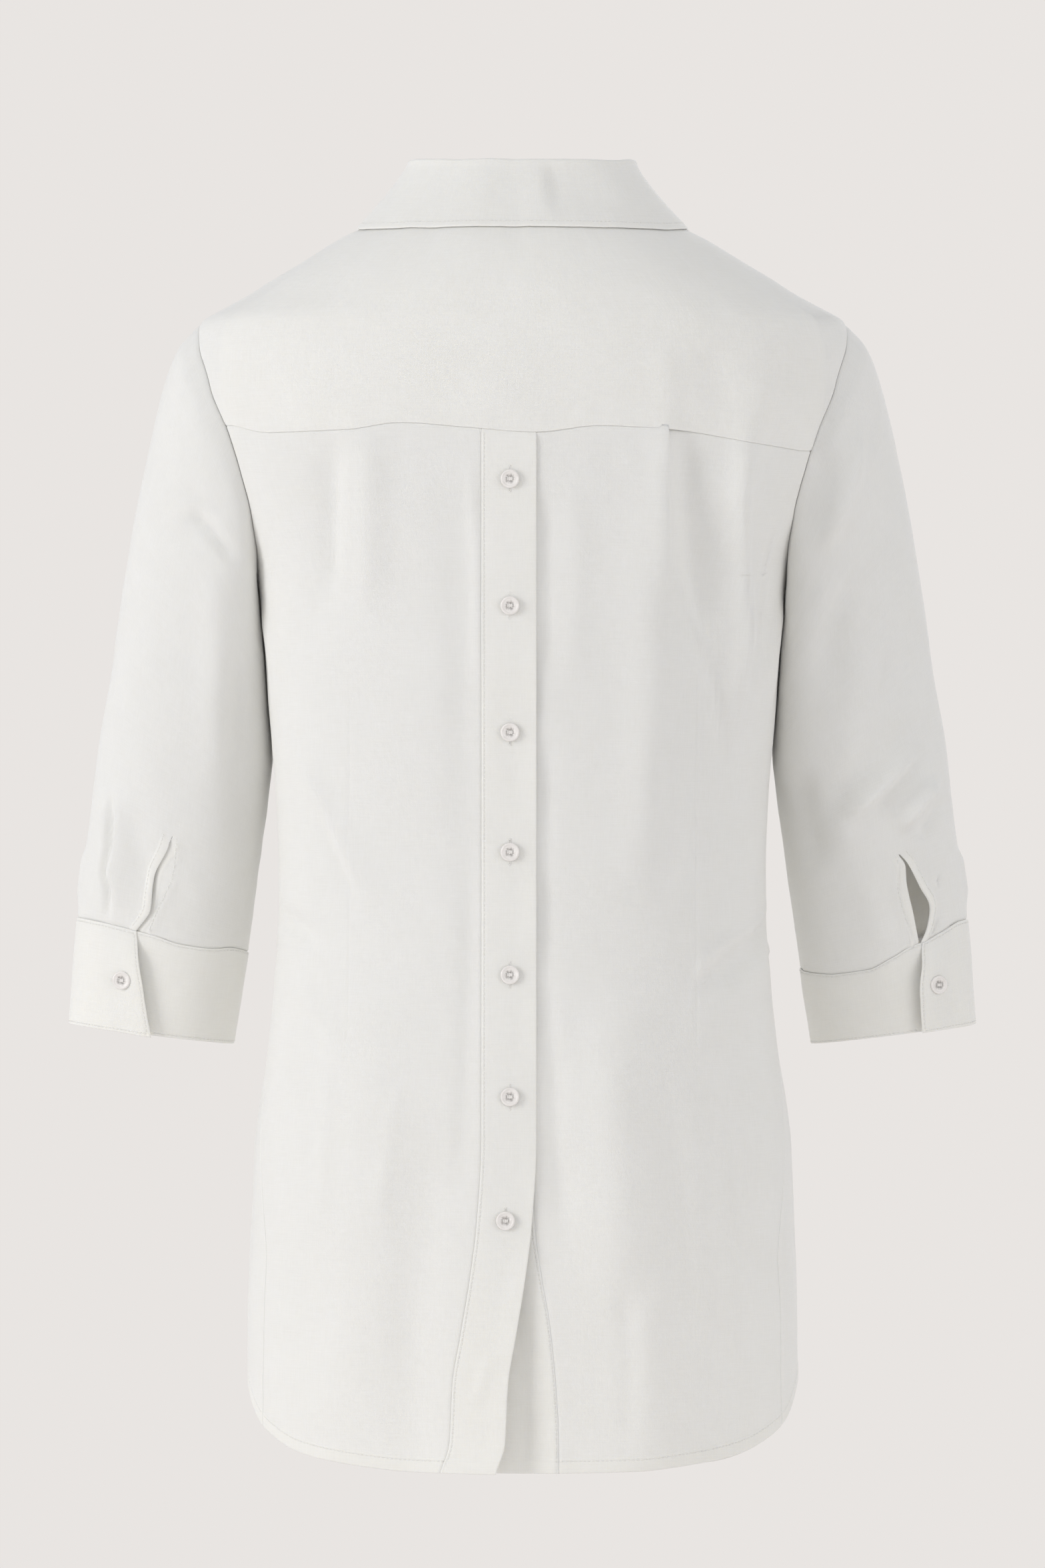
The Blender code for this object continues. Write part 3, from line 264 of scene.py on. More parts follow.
# Creases of the sides and the front, at (u, z)
ROUND_CREASES = [Crease(*row) for row in (
    (((0.452, -0.222), (0.430, -0.262), (0.415, -0.305)), 0.0080, 0.0025),
    (((0.545, -0.226), (0.575, -0.262), (0.620, -0.318)), 0.0080, -0.0034),
    (((0.560, -0.210), (0.610, -0.236), (0.680, -0.258)), 0.0070, 0.0030, 0.2),
    (((0.500, -0.425), (0.560, -0.438), (0.640, -0.430)), 0.0060, -0.0036),
    (((0.505, -0.442), (0.570, -0.452), (0.630, -0.468)), 0.0055, 0.0027, 0.3),
    (((0.660, -0.380), (0.630, -0.420), (0.640, -0.470)), 0.0080, 0.0023),
    (((0.520, -0.500), (0.535, -0.580), (0.530, -0.690)), 0.0100, 0.0025),
    (((0.575, -0.520), (0.590, -0.610), (0.600, -0.720)), 0.0100, -0.0027),
    (((0.700, -0.300), (0.730, -0.380), (0.720, -0.480)), 0.0110, 0.0027),
    (((0.790, -0.160), (0.760, -0.220), (0.770, -0.290)), 0.0100, -0.0023),
    (((0.840, -0.100), (0.850, -0.180), (0.830, -0.260)), 0.0100, 0.0017),
    (((0.930, -0.340), (0.905, -0.420), (0.915, -0.520)), 0.0090, 0.0023),
    (((0.870, -0.540), (0.860, -0.640), (0.880, -0.760)), 0.0100, -0.0025),
    (((0.700, -0.560), (0.690, -0.650), (0.710, -0.745)), 0.0110, 0.0027),
    (((-0.455, -0.224), (-0.425, -0.268), (-0.418, -0.312)), 0.0080, 0.0023),
    (((-0.548, -0.222), (-0.590, -0.268), (-0.628, -0.330)), 0.0085, -0.0032),
    (((-0.558, -0.206), (-0.620, -0.230), (-0.700, -0.244)), 0.0070, 0.0029, -0.2),
    (((-0.500, -0.418), (-0.570, -0.428), (-0.625, -0.444)), 0.0060, -0.0034),
    (((-0.500, -0.436), (-0.560, -0.448), (-0.610, -0.474)), 0.0055, 0.0025),
    (((-0.650, -0.360), (-0.640, -0.410), (-0.665, -0.460)), 0.0080, 0.0021),
    (((-0.525, -0.510), (-0.540, -0.600), (-0.520, -0.690)), 0.0100, 0.0023),
    (((-0.590, -0.500), (-0.580, -0.600), (-0.600, -0.720)), 0.0100, -0.0025),
    (((-0.720, -0.290), (-0.745, -0.390), (-0.715, -0.490)), 0.0110, 0.0027),
    (((-0.780, -0.150), (-0.755, -0.210), (-0.775, -0.280)), 0.0100, -0.0021),
    (((-0.845, -0.110), (-0.840, -0.190), (-0.860, -0.270)), 0.0100, 0.0017),
    (((-0.925, -0.360), (-0.900, -0.440), (-0.910, -0.540)), 0.0090, 0.0021),
    (((-0.860, -0.560), (-0.875, -0.650), (-0.860, -0.760)), 0.0100, -0.0023),
    (((-0.690, -0.540), (-0.700, -0.640), (-0.690, -0.745)), 0.0110, 0.0025),
)]

# The right sleeve's sections, each through an outer and an inner point of its outline
Sleeve = namedtuple("Sleeve", "share outer_x outer_z inner_x inner_z centre_y half_depth")
SLEEVE = [
    Sleeve(0.00, 0.1990, -0.057, 0.1655, -0.215, 0.000, 0.0580),
    Sleeve(0.04, 0.2130, -0.0725, 0.1632, -0.226, 0.001, 0.0605),
    Sleeve(0.10, 0.2230, -0.098, 0.1598, -0.244, 0.005, 0.0610),
    Sleeve(0.20, 0.2335, -0.142, 0.1574, -0.270, 0.012, 0.0600),
    Sleeve(0.30, 0.2430, -0.187, 0.1562, -0.297, 0.019, 0.0580),
    Sleeve(0.40, 0.2505, -0.232, 0.1558, -0.325, 0.026, 0.0560),
    Sleeve(0.50, 0.2565, -0.275, 0.1585, -0.350, 0.031, 0.0540),
    Sleeve(0.60, 0.2640, -0.318, 0.1625, -0.378, 0.036, 0.0520),
    Sleeve(0.70, 0.2695, -0.360, 0.1670, -0.408, 0.041, 0.0500),
    Sleeve(0.80, 0.2750, -0.400, 0.1705, -0.435, 0.046, 0.0480),
    Sleeve(0.87, 0.2790, -0.433, 0.1735, -0.455, 0.049, 0.0465),
    Sleeve(1.00, 0.2840, -0.4935, 0.1815, -0.5060, 0.054, 0.0450),
]
# Folds of a sleeve's back at (x, z), on the wearer's right and left
SLEEVE_FOLDS = {
    1: [
        Fold(0.192, -0.377, 0.258, -0.324, 0.010, 0.0038),
        Fold(0.186, -0.358, 0.250, -0.300, 0.010, -0.0024),
        Fold(0.198, -0.186, 0.218, -0.128, 0.011, 0.0028),
        Fold(0.236, -0.374, 0.256, -0.342, 0.007, 0.0020),
    ],
    -1: [
        Fold(-0.206, -0.176, -0.172, -0.208, 0.010, -0.0030),
        Fold(-0.258, -0.347, -0.256, -0.428, 0.008, 0.0030),
        Fold(-0.190, -0.300, -0.246, -0.262, 0.016, 0.0022),
        Fold(-0.230, -0.410, -0.246, -0.360, 0.008, -0.0020),
    ],
}
SLEEVE_CREASES = {
    1: [
        Crease(((0.200, -0.366), (0.224, -0.343), (0.246, -0.321)), 0.0060, 0.0100, 0.5),
        Crease(((0.184, -0.206), (0.195, -0.178), (0.204, -0.148), (0.208, -0.116)), 0.0060, 0.0062, 0.3),
        Crease(((0.213, -0.368), (0.232, -0.342), (0.247, -0.321)), 0.0058, -0.0044),
        Crease(((0.232, -0.374), (0.246, -0.354), (0.260, -0.337)), 0.0050, 0.0078, 0.4),
        Crease(((0.246, -0.379), (0.256, -0.364), (0.265, -0.350)), 0.0044, -0.0040),
        Crease(((0.169, -0.330), (0.174, -0.368), (0.186, -0.404)), 0.0110, -0.0066),
        Crease(((0.174, -0.196), (0.183, -0.164), (0.192, -0.130)), 0.0080, -0.0040),
        Crease(((0.212, -0.398), (0.221, -0.428), (0.227, -0.454)), 0.0080, 0.0016),
        Crease(((0.206, -0.205), (0.193, -0.245), (0.184, -0.290)), 0.0100, -0.0034),
        Crease(((0.224, -0.258), (0.2225, -0.298)), 0.0060, -0.0016),
        Crease(((0.212, -0.250), (0.206, -0.300), (0.202, -0.345)), 0.0090, 0.0022),
        Crease(((0.228, -0.200), (0.236, -0.250), (0.240, -0.300)), 0.0090, -0.0009),
        Crease(((0.176, -0.232), (0.190, -0.222), (0.206, -0.205)), 0.0060, 0.0010),
        Crease(((0.2590, -0.400), (0.2586, -0.408)), 0.0012, -0.0016),
        Crease(((0.2575, -0.428), (0.2565, -0.437)), 0.0012, -0.0016),
    ],
    -1: [
        Crease(((-0.249, -0.340), (-0.2508, -0.382), (-0.2545, -0.398), (-0.2520, -0.409),
                (-0.2545, -0.434)), 0.0058, 0.0032, 0.9),
        Crease(((-0.2545, -0.345), (-0.2562, -0.382), (-0.2600, -0.398), (-0.2574, -0.409),
                (-0.2600, -0.434)), 0.0024, -0.0050),
        Crease(((-0.191, -0.190), (-0.189, -0.260), (-0.192, -0.360)), 0.0100, 0.0036),
        Crease(((-0.176, -0.240), (-0.175, -0.310), (-0.178, -0.410)), 0.0080, -0.0022),
        Crease(((-0.226, -0.180), (-0.232, -0.230), (-0.236, -0.300)), 0.0090, 0.0008),
        Crease(((-0.208, -0.174), (-0.190, -0.190), (-0.172, -0.208)), 0.0045, -0.0022),
        Crease(((-0.214, -0.158), (-0.196, -0.170), (-0.176, -0.182)), 0.0055, -0.0014),
        Crease(((-0.205, -0.186), (-0.190, -0.201), (-0.174, -0.220)), 0.0045, 0.0014),
        Crease(((-0.212, -0.392), (-0.204, -0.410), (-0.190, -0.424)), 0.0060, 0.0008),
    ],
}
# Creases of a sleeve's other sides, at (angle in degrees, share)
SLEEVE_ROUND_CREASES = [Crease(*row) for row in (
    (((200, 0.42), (235, 0.50), (275, 0.53)), 0.0080, 0.0025, 0.2),
    (((215, 0.56), (250, 0.58), (290, 0.55)), 0.0080, -0.0030),
    (((300, 0.44), (325, 0.49), (350, 0.50)), 0.0075, -0.0033),
    (((295, 0.52), (320, 0.545), (352, 0.55)), 0.0070, 0.0027, 0.3),
    (((285, 0.62), (310, 0.60), (340, 0.61)), 0.0070, 0.0021),
    (((240, 0.12), (265, 0.18), (300, 0.22)), 0.0085, -0.0021),
    (((300, 0.10), (320, 0.16), (345, 0.18)), 0.0070, 0.0024),
    (((190, 0.66), (205, 0.74), (200, 0.84)), 0.0070, 0.0021),
    (((255, 0.68), (262, 0.76), (258, 0.85)), 0.0080, 0.0019),
    (((315, 0.70), (305, 0.78), (310, 0.86)), 0.0070, -0.0019),
    (((186, 0.20), (194, 0.30), (190, 0.38)), 0.0090, -0.0010),
    (((172, 0.755), (178, 0.80), (184, 0.85)), 0.0070, 0.0026),
)]

# The slits' lips at (x, z) as the photo shows them, and the line sewn beside the inner one
SLIT_LIPS = {
    1: {
        "outer": ((0.2345, -0.3870), (0.2395, -0.3930), (0.2470, -0.4080), (0.2525, -0.4200),
                  (0.2515, -0.4320), (0.2480, -0.4420)),
        "inner": ((0.2335, -0.3870), (0.2385, -0.3950), (0.2393, -0.4050), (0.2434, -0.4235),
                  (0.2470, -0.4420)),
        "line": ((0.2325, -0.3880), (0.2335, -0.3925), (0.2340, -0.4095), (0.2400, -0.4320),
                 (0.2430, -0.4410)),
    },
    -1: {
        "outer": ((-0.2175, -0.3760), (-0.2200, -0.3830), (-0.2290, -0.4030), (-0.2310, -0.4210),
                  (-0.2420, -0.4380)),
        "inner": ((-0.2175, -0.3760), (-0.2225, -0.3830), (-0.2320, -0.4030), (-0.2345, -0.4210),
                  (-0.2440, -0.4380)),
        "line": ((-0.2150, -0.3770), (-0.2170, -0.3970), (-0.2230, -0.4130), (-0.2322, -0.4335)),
    },
}
# How far a slit's outer lip rolls out, by share of its length
LIP_ROLL = [(0.0, 0.0), (0.35, 0.0018), (0.65, 0.0040), (1.0, 0.0014)]
LIP_SHARE = {1: 1.0, -1: 0.55}
LIP_CREST, LIP_WIDTH = 0.0024, 0.0030  # where the roll is highest, and its width
LIP_STITCH, LIP_SEW_OUT = 0.0045, 0.0005
# The slit's binding: how wide it is, how high it stands and how much thicker it is
BINDING_WIDTH, BINDING_RISE, BINDING_THICKER, BINDING_BLEND = 0.0050, 0.00040, 0.0006, 0.0008
LIP_UNDER = {1: 0.0002, -1: 0.0010}  # the inner lip lies this much lower
LIP_UNDER_REACH = 0.009
STRIP_EDGE = 0.0011  # the cloth stands this high beside the strip that binds a slit
STRIP_REACH, STRIP_DROP = 0.0030, 0.0009
SLIT_FADE = 0.02  # share of the sleeve over which a slit's forms begin
CUFF_TUCK = 0.0010  # the sleeve's edge lies this much lower in its cuff
# How far a cuff's seam lies above or below its mean, as (degrees, share)
CUFF_SEAM = {
    1: [
        (0, 0.012), (30, 0.022), (55, 0.030), (78, 0.031), (93, 0.019), (104, 0.009), (115, 0.005),
        (128, -0.002), (150, -0.011), (180, -0.010), (270, 0.002), (360, 0.012),
    ],
    -1: [
        (0, -0.020), (30, -0.024), (58, -0.012), (79, -0.009), (95, -0.014), (124, -0.015),
        (180, -0.012), (270, -0.006), (360, -0.020),
    ],
}
# Where a cuff's free edge lies, as (share, degrees)
CUFF_EDGE = {
    1: [(0.870, 112.4), (0.935, 105.6), (1.000, 104.4)],
    -1: [(0.870, 104.0), (0.935, 96.0), (1.000, 88.5)],
}

# A cuff's free edge stands out this much
CUFF_FLARE = {1: 0.0058, -1: 0.0052}
CUFF_FLARE_REACH = {1: 0.34, -1: 0.26}
CUFF_ROUND, CUFF_HEIGHT = 0.330, 0.058
CUFF_CELL = 0.0026
CUFF_THICKNESS = DOUBLE + 0.0001
CUFF_RISE = 0.0006  # above the sleeve
CUFF_OVER, CUFF_UNDER = 0.0014, 0.0003  # more where it laps over itself, and less under that
CUFF_TOP_SHARE = 0.45  # of CUFF_OVER at the cuff's seam
CUFF_SEWN_DEPTH = 0.0002
CUFF_MIDDLE = 0.935  # share of the sleeve, where its button is
CUFF_EDGE_ROWS = (0.0, 0.0005, 0.0012, 0.0017, 0.0023, 0.0032)
SLEEVE_ROUND = 0.345  # metres of cloth round it
SLEEVE_HEAD = 0.12  # share over which it leaves the armhole's form
ARMHOLE_ROWS = (0, 0.0012, 0.003, 0.006, 0.010, 0.015, 0.020)  # shares
SLIT_COLUMNS = (0.0, 0.0005, 0.0014, 0.0026, 0.0038, 0.0046, 0.0052, 0.0058, 0.0066, 0.0080, 0.0100)
TUCKED_UNTIL, TUCK_IN, TUCK_DOWN = 0.006, 0.0003, 0.0007  # of its edge in the armhole

# The collar's fall: where its lower edge lies from the middle of the back to its point
Edge = namedtuple("Edge", "along u z")
FALL_EDGE = [
    Edge(0.000, 0.000, -0.0030),
    Edge(0.300, 0.300, -0.0035),
    Edge(0.500, 0.500, 0.0003),
    Edge(0.620, 0.610, -0.0140),
    Edge(0.800, 0.740, -0.0450),
    Edge(0.985, 0.895, -0.0860),
]


# Curves and sections


def smooth(rows):
    """A curve through rows of (at, value) with no overshoot, as a function of arrays."""
    at = np.array([row[0] for row in rows])
    value = np.array([row[1] for row in rows])
    step = np.diff(at)
    slope = np.diff(value) / step
    same = slope[:-1] * slope[1:] > 0
    mean = 2 * slope[:-1] * slope[1:] / np.where(same, slope[:-1] + slope[1:], 1.0)
    tangent = np.concatenate([[slope[0]], np.where(same, mean, 0.0), [slope[-1]]])

    def curve(x):
        x = np.clip(np.asarray(x, float), at[0], at[-1])
        i = np.clip(np.searchsorted(at, x) - 1, 0, len(at) - 2)
        t = (x - at[i]) / step[i]
        start, end = 2 * t**3 - 3 * t**2 + 1, 3 * t**2 - 2 * t**3
        bend = (t**3 - 2 * t**2 + t) * tangent[i] + (t**3 - t**2) * tangent[i + 1]
        return start * value[i] + end * value[i + 1] + bend * step[i]

    return curve


def column(rows, key, value):
    return smooth([(getattr(row, key), getattr(row, value)) for row in rows])


def smoothstep(x):
    x = np.clip(x, 0.0, 1.0)
    return x * x * (3 - 2 * x)


def between(at, run, values):
    """The rows of values at places along run."""
    return np.stack([np.interp(at, run, values[:, k]) for k in range(3)], axis=-1)


def rest_on(height_at, z, rounds, part=1.0):
    """Moves z to height_at(z) again and again, by part of the way, till it rests on the curve."""
    for _ in range(rounds):
        z = (1 - part) * z + part * height_at(z)
    return z


body_width, body_back, body_front = (
    column(BODY, "z", key) for key in ("half_width", "back_depth", "front_depth")
)
hem_curve, neck_curve, yoke_curve, side_curve, placket_swing, underlap_swing, front_swing, lip_roll = (
    smooth(rows)
    for rows in (
        HEM, NECKLINE, YOKE_SEAM, SIDE_SEAM, PLACKET_SWING, UNDERLAP_SWING, FRONT_SWING, LIP_ROLL
    )
)


def quarter_table(ratios, angles):
    """The share of a section's quarter that lies before each angle, for each depth to width."""
    power = 2 / ROUNDNESS
    fine = np.linspace(0, math.pi / 2, 721)
    across, deep = np.sin(fine) ** power, np.cos(fine) ** power
    table = []
    for ratio in ratios:
        run = np.concatenate([[0], np.cumsum(np.hypot(np.diff(across), ratio * np.diff(deep)))])
        table.append(np.interp(angles, fine, run / run[-1]))
    return np.array(table)


RATIOS = np.linspace(0.05, 1.2, 70)
ANGLES = np.linspace(0, math.pi / 2, 361)
SHARES = quarter_table(RATIOS, ANGLES)
EVEN = np.linspace(0, 1, 361)
ANGLE_OF = np.array([np.interp(EVEN, row, ANGLES) for row in SHARES])


def look_up(table, ratio, place):
    """table's value at ratio and at place, from 0 to 1 along its rows."""
    i = np.clip((ratio - RATIOS[0]) / (RATIOS[1] - RATIOS[0]), 0, len(RATIOS) - 1.001)
    j = np.clip(place, 0, 1) * (table.shape[1] - 1.001)
    i0, j0 = i.astype(int), j.astype(int)
    a, b = i - i0, j - j0
    low = table[i0, j0] * (1 - b) + table[i0, j0 + 1] * b
    high = table[i0 + 1, j0] * (1 - b) + table[i0 + 1, j0 + 1] * b
    return low * (1 - a) + high * a


def plain_body(u, z):
    """The body's surface before its folds."""
    u = (np.asarray(u, float) + 1) % 2 - 1
    z = np.broadcast_to(np.asarray(z, float), u.shape)
    back = np.abs(u) <= 0.5
    share = np.where(back, 2 * np.abs(u), 2 * (1 - np.abs(u)))
    width = body_width(z)
    depth = np.where(back, body_back(z), body_front(z))
    angle = look_up(ANGLE_OF, depth / width, share)
    power = 2 / ROUNDNESS
    x = np.sign(u) * width * np.sin(angle) ** power
    y = np.where(back, -1.0, 1.0) * depth * np.cos(angle) ** power
    return np.stack([x, y, z], axis=-1)


def plain_x(u, z):
    return plain_body(u, z)[..., 0]


def unit(v):
    return v / np.maximum(np.linalg.norm(v, axis=-1, keepdims=True), 1e-12)


def normal_of(surface, u, z):
    """The outward normal of a surface given by (u, z)."""
    du, dz = 0.002, 0.0008
    across = surface(u + du, z) - surface(u - du, z)
    up = surface(u, z + dz) - surface(u, z - dz)
    return unit(np.cross(across, up))


FOLD_PAST = 0.12  # a fold goes on past its ends by this share of its length
FOLD_FADES = 0.30, 0.40  # shares of its length that it fades over at its start and end
CREASE_FADES = 0.28, 0.34
LEAN_SHARE = 0.55  # a crease that leans fully is this much narrower on one side


def fold_height(folds, x, z):
    total = np.zeros_like(x)
    for fold in folds:
        dx, dz = fold.x1 - fold.x0, fold.z1 - fold.z0
        length = math.hypot(dx, dz)
        along = ((x - fold.x0) * dx + (z - fold.z0) * dz) / length**2
        away = ((x - fold.x0) * dz - (z - fold.z0) * dx) / length
        ends = smoothstep((along + FOLD_PAST) / FOLD_FADES[0])
        ends = ends * smoothstep((1 + FOLD_PAST - along) / FOLD_FADES[1])
        total = total + fold.height * np.exp(-((away / fold.width) ** 2)) * ends
    return total


def crease_height(creases, a, b):
    """The creases' height at (a, b), both in metres along the cloth."""
    total = np.zeros_like(a)
    for crease in creases:
        path = np.array(crease.path, float)
        lengths = np.hypot(*np.diff(path, axis=0).T)
        whole, before = lengths.sum(), 0.0
        best, along, right = np.full_like(a, 1e9), np.zeros_like(a), np.zeros_like(a)
        for (a0, b0), (a1, b1), length in zip(path[:-1], path[1:], lengths):
            da, db = a1 - a0, b1 - b0
            t = np.clip(((a - a0) * da + (b - b0) * db) / length**2, 0, 1)
            off_a, off_b = a - a0 - t * da, b - b0 - t * db
            distance = np.hypot(off_a, off_b)
            nearer = distance < best
            best = np.where(nearer, distance, best)
            along = np.where(nearer, (before + t * length) / whole, along)
            right = np.where(nearer, np.sign(off_a * db - off_b * da), right)
            before += length
        width = crease.width * (1 - LEAN_SHARE * crease.lean * right)
        taper = smoothstep(along / CREASE_FADES[0]) * smoothstep((1 - along) / CREASE_FADES[1])
        total = total + crease.height * taper * np.exp(-((best / width) ** 2))
    return total


LATTICE = 64  # random values each way, repeated beyond
LATTICE_SHIFT = 7.3, 11.9  # so that no line of the lattice lies on a seam


def waves(a, b, size, seed):
    """Smooth seeded noise from -1 to 1, with lumps of about the given size."""
    lattice = np.random.default_rng(seed).uniform(-1, 1, (LATTICE, LATTICE))
    p, q = a / size + LATTICE_SHIFT[0], b / size + LATTICE_SHIFT[1]
    i, j = np.floor(p).astype(int), np.floor(q).astype(int)
    s, t = smoothstep(p - i), smoothstep(q - j)
    corners = [[lattice[(i + m) % LATTICE, (j + n) % LATTICE] for n in (0, 1)] for m in (0, 1)]
    low = corners[0][0] * (1 - t) + corners[0][1] * t
    high = corners[1][0] * (1 - t) + corners[1][1] * t
    return low * (1 - s) + high * s


# The unevenness that linen keeps after pressing: the size and the height of its lumps
BROAD, RIDGED, FINE = (0.034, 0.00050), (0.022, 0.00034), (0.0095, 0.00013)
SLANT = 0.94, 0.34  # cosine and sine of the ridges' direction


def crumple(a, b, seed):
    slant_a, slant_b = a * SLANT[0] + b * SLANT[1], b * SLANT[0] - a * SLANT[1]
    broad = waves(a, b * 0.6, BROAD[0], seed) * BROAD[1]
    ridged = (0.5 - np.abs(waves(slant_a, slant_b * 0.7, RIDGED[0], seed + 1))) * RIDGED[1]
    fine = (0.5 - np.abs(waves(slant_a * 0.8, b, FINE[0], seed + 2))) * FINE[1]
    return broad + ridged + fine


def share_of_y(y, z, depth):
    """The share of a section's quarter that lies beyond a place y from its middle line."""
    angle = np.arccos(np.clip(y / depth, 0, 1) ** (ROUNDNESS / 2))
    return look_up(SHARES, depth / body_width(z), angle / (math.pi / 2))


def share_of_x(x, z, depth):
    width = body_width(z)
    angle = np.arcsin(np.clip(np.abs(x) / width, 0, 1) ** (ROUNDNESS / 2))
    return look_up(SHARES, depth / width, angle / (math.pi / 2))


def back_u(x, z):
    return 0.5 * np.sign(x) * share_of_x(x, z, body_back(z))


def front_u(x, z, side):
    """u of a place near the centre front, for the panel on the given side."""
    return side - 0.5 * np.sign(x) * share_of_x(x, z, body_front(z))


def seen(x, z):
    """The place on the back of something that the photo shows at (x, z)."""
    return x / PHOTO_SCALE, CAMERA_Z + (z - CAMERA_Z) / PHOTO_SCALE


def on_cloth(crease):
    """A crease of the back as a path in metres round the body and up."""
    path = []
    for x, z in crease.path:
        x, z = seen(x, z)
        path.append((float(back_u(np.array(x), np.array(z))) * HALF_ROUND, z))
    return crease._replace(path=path)


CLOTH_CREASES = [on_cloth(crease) for crease in BACK_CREASES] + [
    crease._replace(path=[(u * HALF_ROUND, z) for u, z in crease.path])
    for crease in ROUND_CREASES
]


BODY_SEED, SLEEVE_SEED, EDGE_SEED = 3, 11, 5
SIDES_FROM_U = 0.36  # the broad folds fade towards the side from here on


def body(u, z, rise=0.0):
    """The body's outer surface with its folds and creases, moved out by rise."""
    u = (np.asarray(u, float) + 1) % 2 - 1
    z = np.broadcast_to(np.asarray(z, float), u.shape)
    point = plain_body(u, z)
    back = np.abs(u) < 0.5
    folds = np.where(
        back,
        fold_height(BACK_FOLDS, point[..., 0], z),
        fold_height(FRONT_FOLDS, point[..., 0], z),
    )
    calm = smoothstep((UNDERARM_Z - 0.02 - z) / 0.03)
    side = smoothstep(np.abs(np.abs(u) - 0.5) / 0.06)
    folds = folds * np.where(np.abs(u) > SIDES_FROM_U, side * calm, 1.0)
    around = u * HALF_ROUND
    fine = crease_height(CLOTH_CREASES, around, z) + crumple(around, z, BODY_SEED)
    return point + normal_of(plain_body, u, z) * (folds + fine + rise)[..., None]


# Edges of the panels


def armhole_u(z, front):
    depth = body_front(z) if front else body_back(z)
    level = (z - ARMHOLE_MIDDLE_Z) / ARMHOLE_HALF_HEIGHT
    half_depth = ARMHOLE_HALF_DEPTH * np.sqrt(np.clip(1 - level**2, 0, 1))
    share = share_of_y(half_depth, z, depth)
    return 1 - 0.5 * share if front else 0.5 * share


SHOULDER_SEAM_U = float(armhole_u(np.array(SHOULDER_SEAM_Z), front=True))


def back_side_edge(z):
    return np.where(z < UNDERARM_Z, side_curve(z), armhole_u(z, front=False))


def front_side_edge(z):
    upper = np.where(z > SHOULDER_SEAM_Z, SHOULDER_SEAM_U, armhole_u(z, front=True))
    return np.where(z < UNDERARM_Z, side_curve(z), upper)


def placket_edges(z):
    free = PLACKET_EDGE_X + placket_swing(z)
    return free - BAND_WIDTH, free


def underlap_edges(z):
    sewn = PLACKET_EDGE_X - UNDERLAP_INSET + underlap_swing(z)
    hidden = UNDERLAP_HIDDEN * underlap_swing(z) / UNDERLAP_SWING[0][1]
    return sewn - BAND_WIDTH + UNDERLAP_NARROWER - hidden, sewn


def front_over_edges(z):
    free = -FRONT_EDGE_X + FRONT_OVER_SWING_X * front_swing(z)
    return free, free + BAND_WIDTH


def front_under_edges(z):
    free = FRONT_EDGE_X + FRONT_UNDER_SWING_X * front_swing(z)
    return free - BAND_WIDTH, free


def hem_z(u):
    around = np.abs((np.asarray(u, float) + 1) % 2 - 1)
    drop = FRONT_HEM_DROP * smoothstep((around - 0.5) / 0.25)
    return hem_curve(np.where(around > 0.5, 1 - around, around)) - drop


def neck_z(u):
    return neck_curve(np.abs((u + 1) % 2 - 1))


def seam_z(u):
    """The height of the yoke's back seam."""
    return rest_on(lambda z: yoke_curve(plain_x(u, z)), np.full_like(u, YOKE_SEAM[0][1]), 4)


def lift_placket(x, z):
    """The upper side of the parted back stands out a little near its free edge."""
    away = placket_edges(z)[1] - x
    parted = placket_swing(z) / PLACKET_SWING[0][1]
    return PLACKET_LIFT * parted * np.exp(-((away / LIFT_REACH) ** 2))


def lift_front(x, z):
    away = x - front_over_edges(z)[0]
    return FRONT_LIFT * front_swing(z) * np.exp(-((away / LIFT_REACH) ** 2))


def drop_lap(distance):
    return -LAP_DROP * (1 - smoothstep(distance / LAP_BLEND))


def under_yoke(u, z, depth):
    """A piece sewn under the yoke sinks by depth at its seam."""
    return -depth * smoothstep((z - seam_z(u) + UNDER_YOKE) / 0.0014)


UPPER_TUCK, LOWER_TUCK = 0.0011, 0.0008  # how far a panel sinks at a band that hides its edge
TUCK_BLEND = 0.0012


def tuck_under(inside):
    """A panel sinks below its upper band, by distance inside the band's edge."""
    return -UPPER_TUCK * smoothstep((inside + 0.0004) / TUCK_BLEND)


def tuck_over(beyond):
    """A panel sinks at its lower band too, by distance beyond the band's edge."""
    return -LOWER_TUCK * (1 - smoothstep((beyond + LOWER_TUCK) / TUCK_BLEND))


# Meshes


def grid_normal(points, joined=False):
    """Unit normals of a grid, either way round; joined says that its end columns are one."""
    across = np.gradient(points, axis=1)
    if joined:
        turn = (points[:, 1] - points[:, -2]) / 2
        across[:, 0] = across[:, -1] = turn
    return unit(np.cross(across, np.gradient(points, axis=0)))


def add_object(name, points, faces, material, uv=None, uv_faces=None):
    """An object from arrays of points and of faces, with uv for each corner from uv_faces."""
    used, inverse = np.unique(np.concatenate([f.ravel() for f in faces]), return_inverse=True)
    lists, start = [], 0
    for block in faces:
        lists += inverse[start : start + block.size].reshape(block.shape).tolist()
        start += block.size
    mesh = bpy.data.meshes.new(name)
    mesh.from_pydata(points[used].tolist(), [], lists)
    if uv is not None:
        corners = np.concatenate([f.ravel() for f in uv_faces])
        layer = mesh.uv_layers.new(name="cloth")
        layer.uv.foreach_set("vector", uv[corners].astype(np.float32).ravel())
    mesh.shade_smooth()
    mesh.materials.append(material)
    mesh.update()
    return link(name, mesh)


def link(name, data):
    thing = bpy.data.objects.new(name, data)
    bpy.context.scene.collection.objects.link(thing)
    return thing


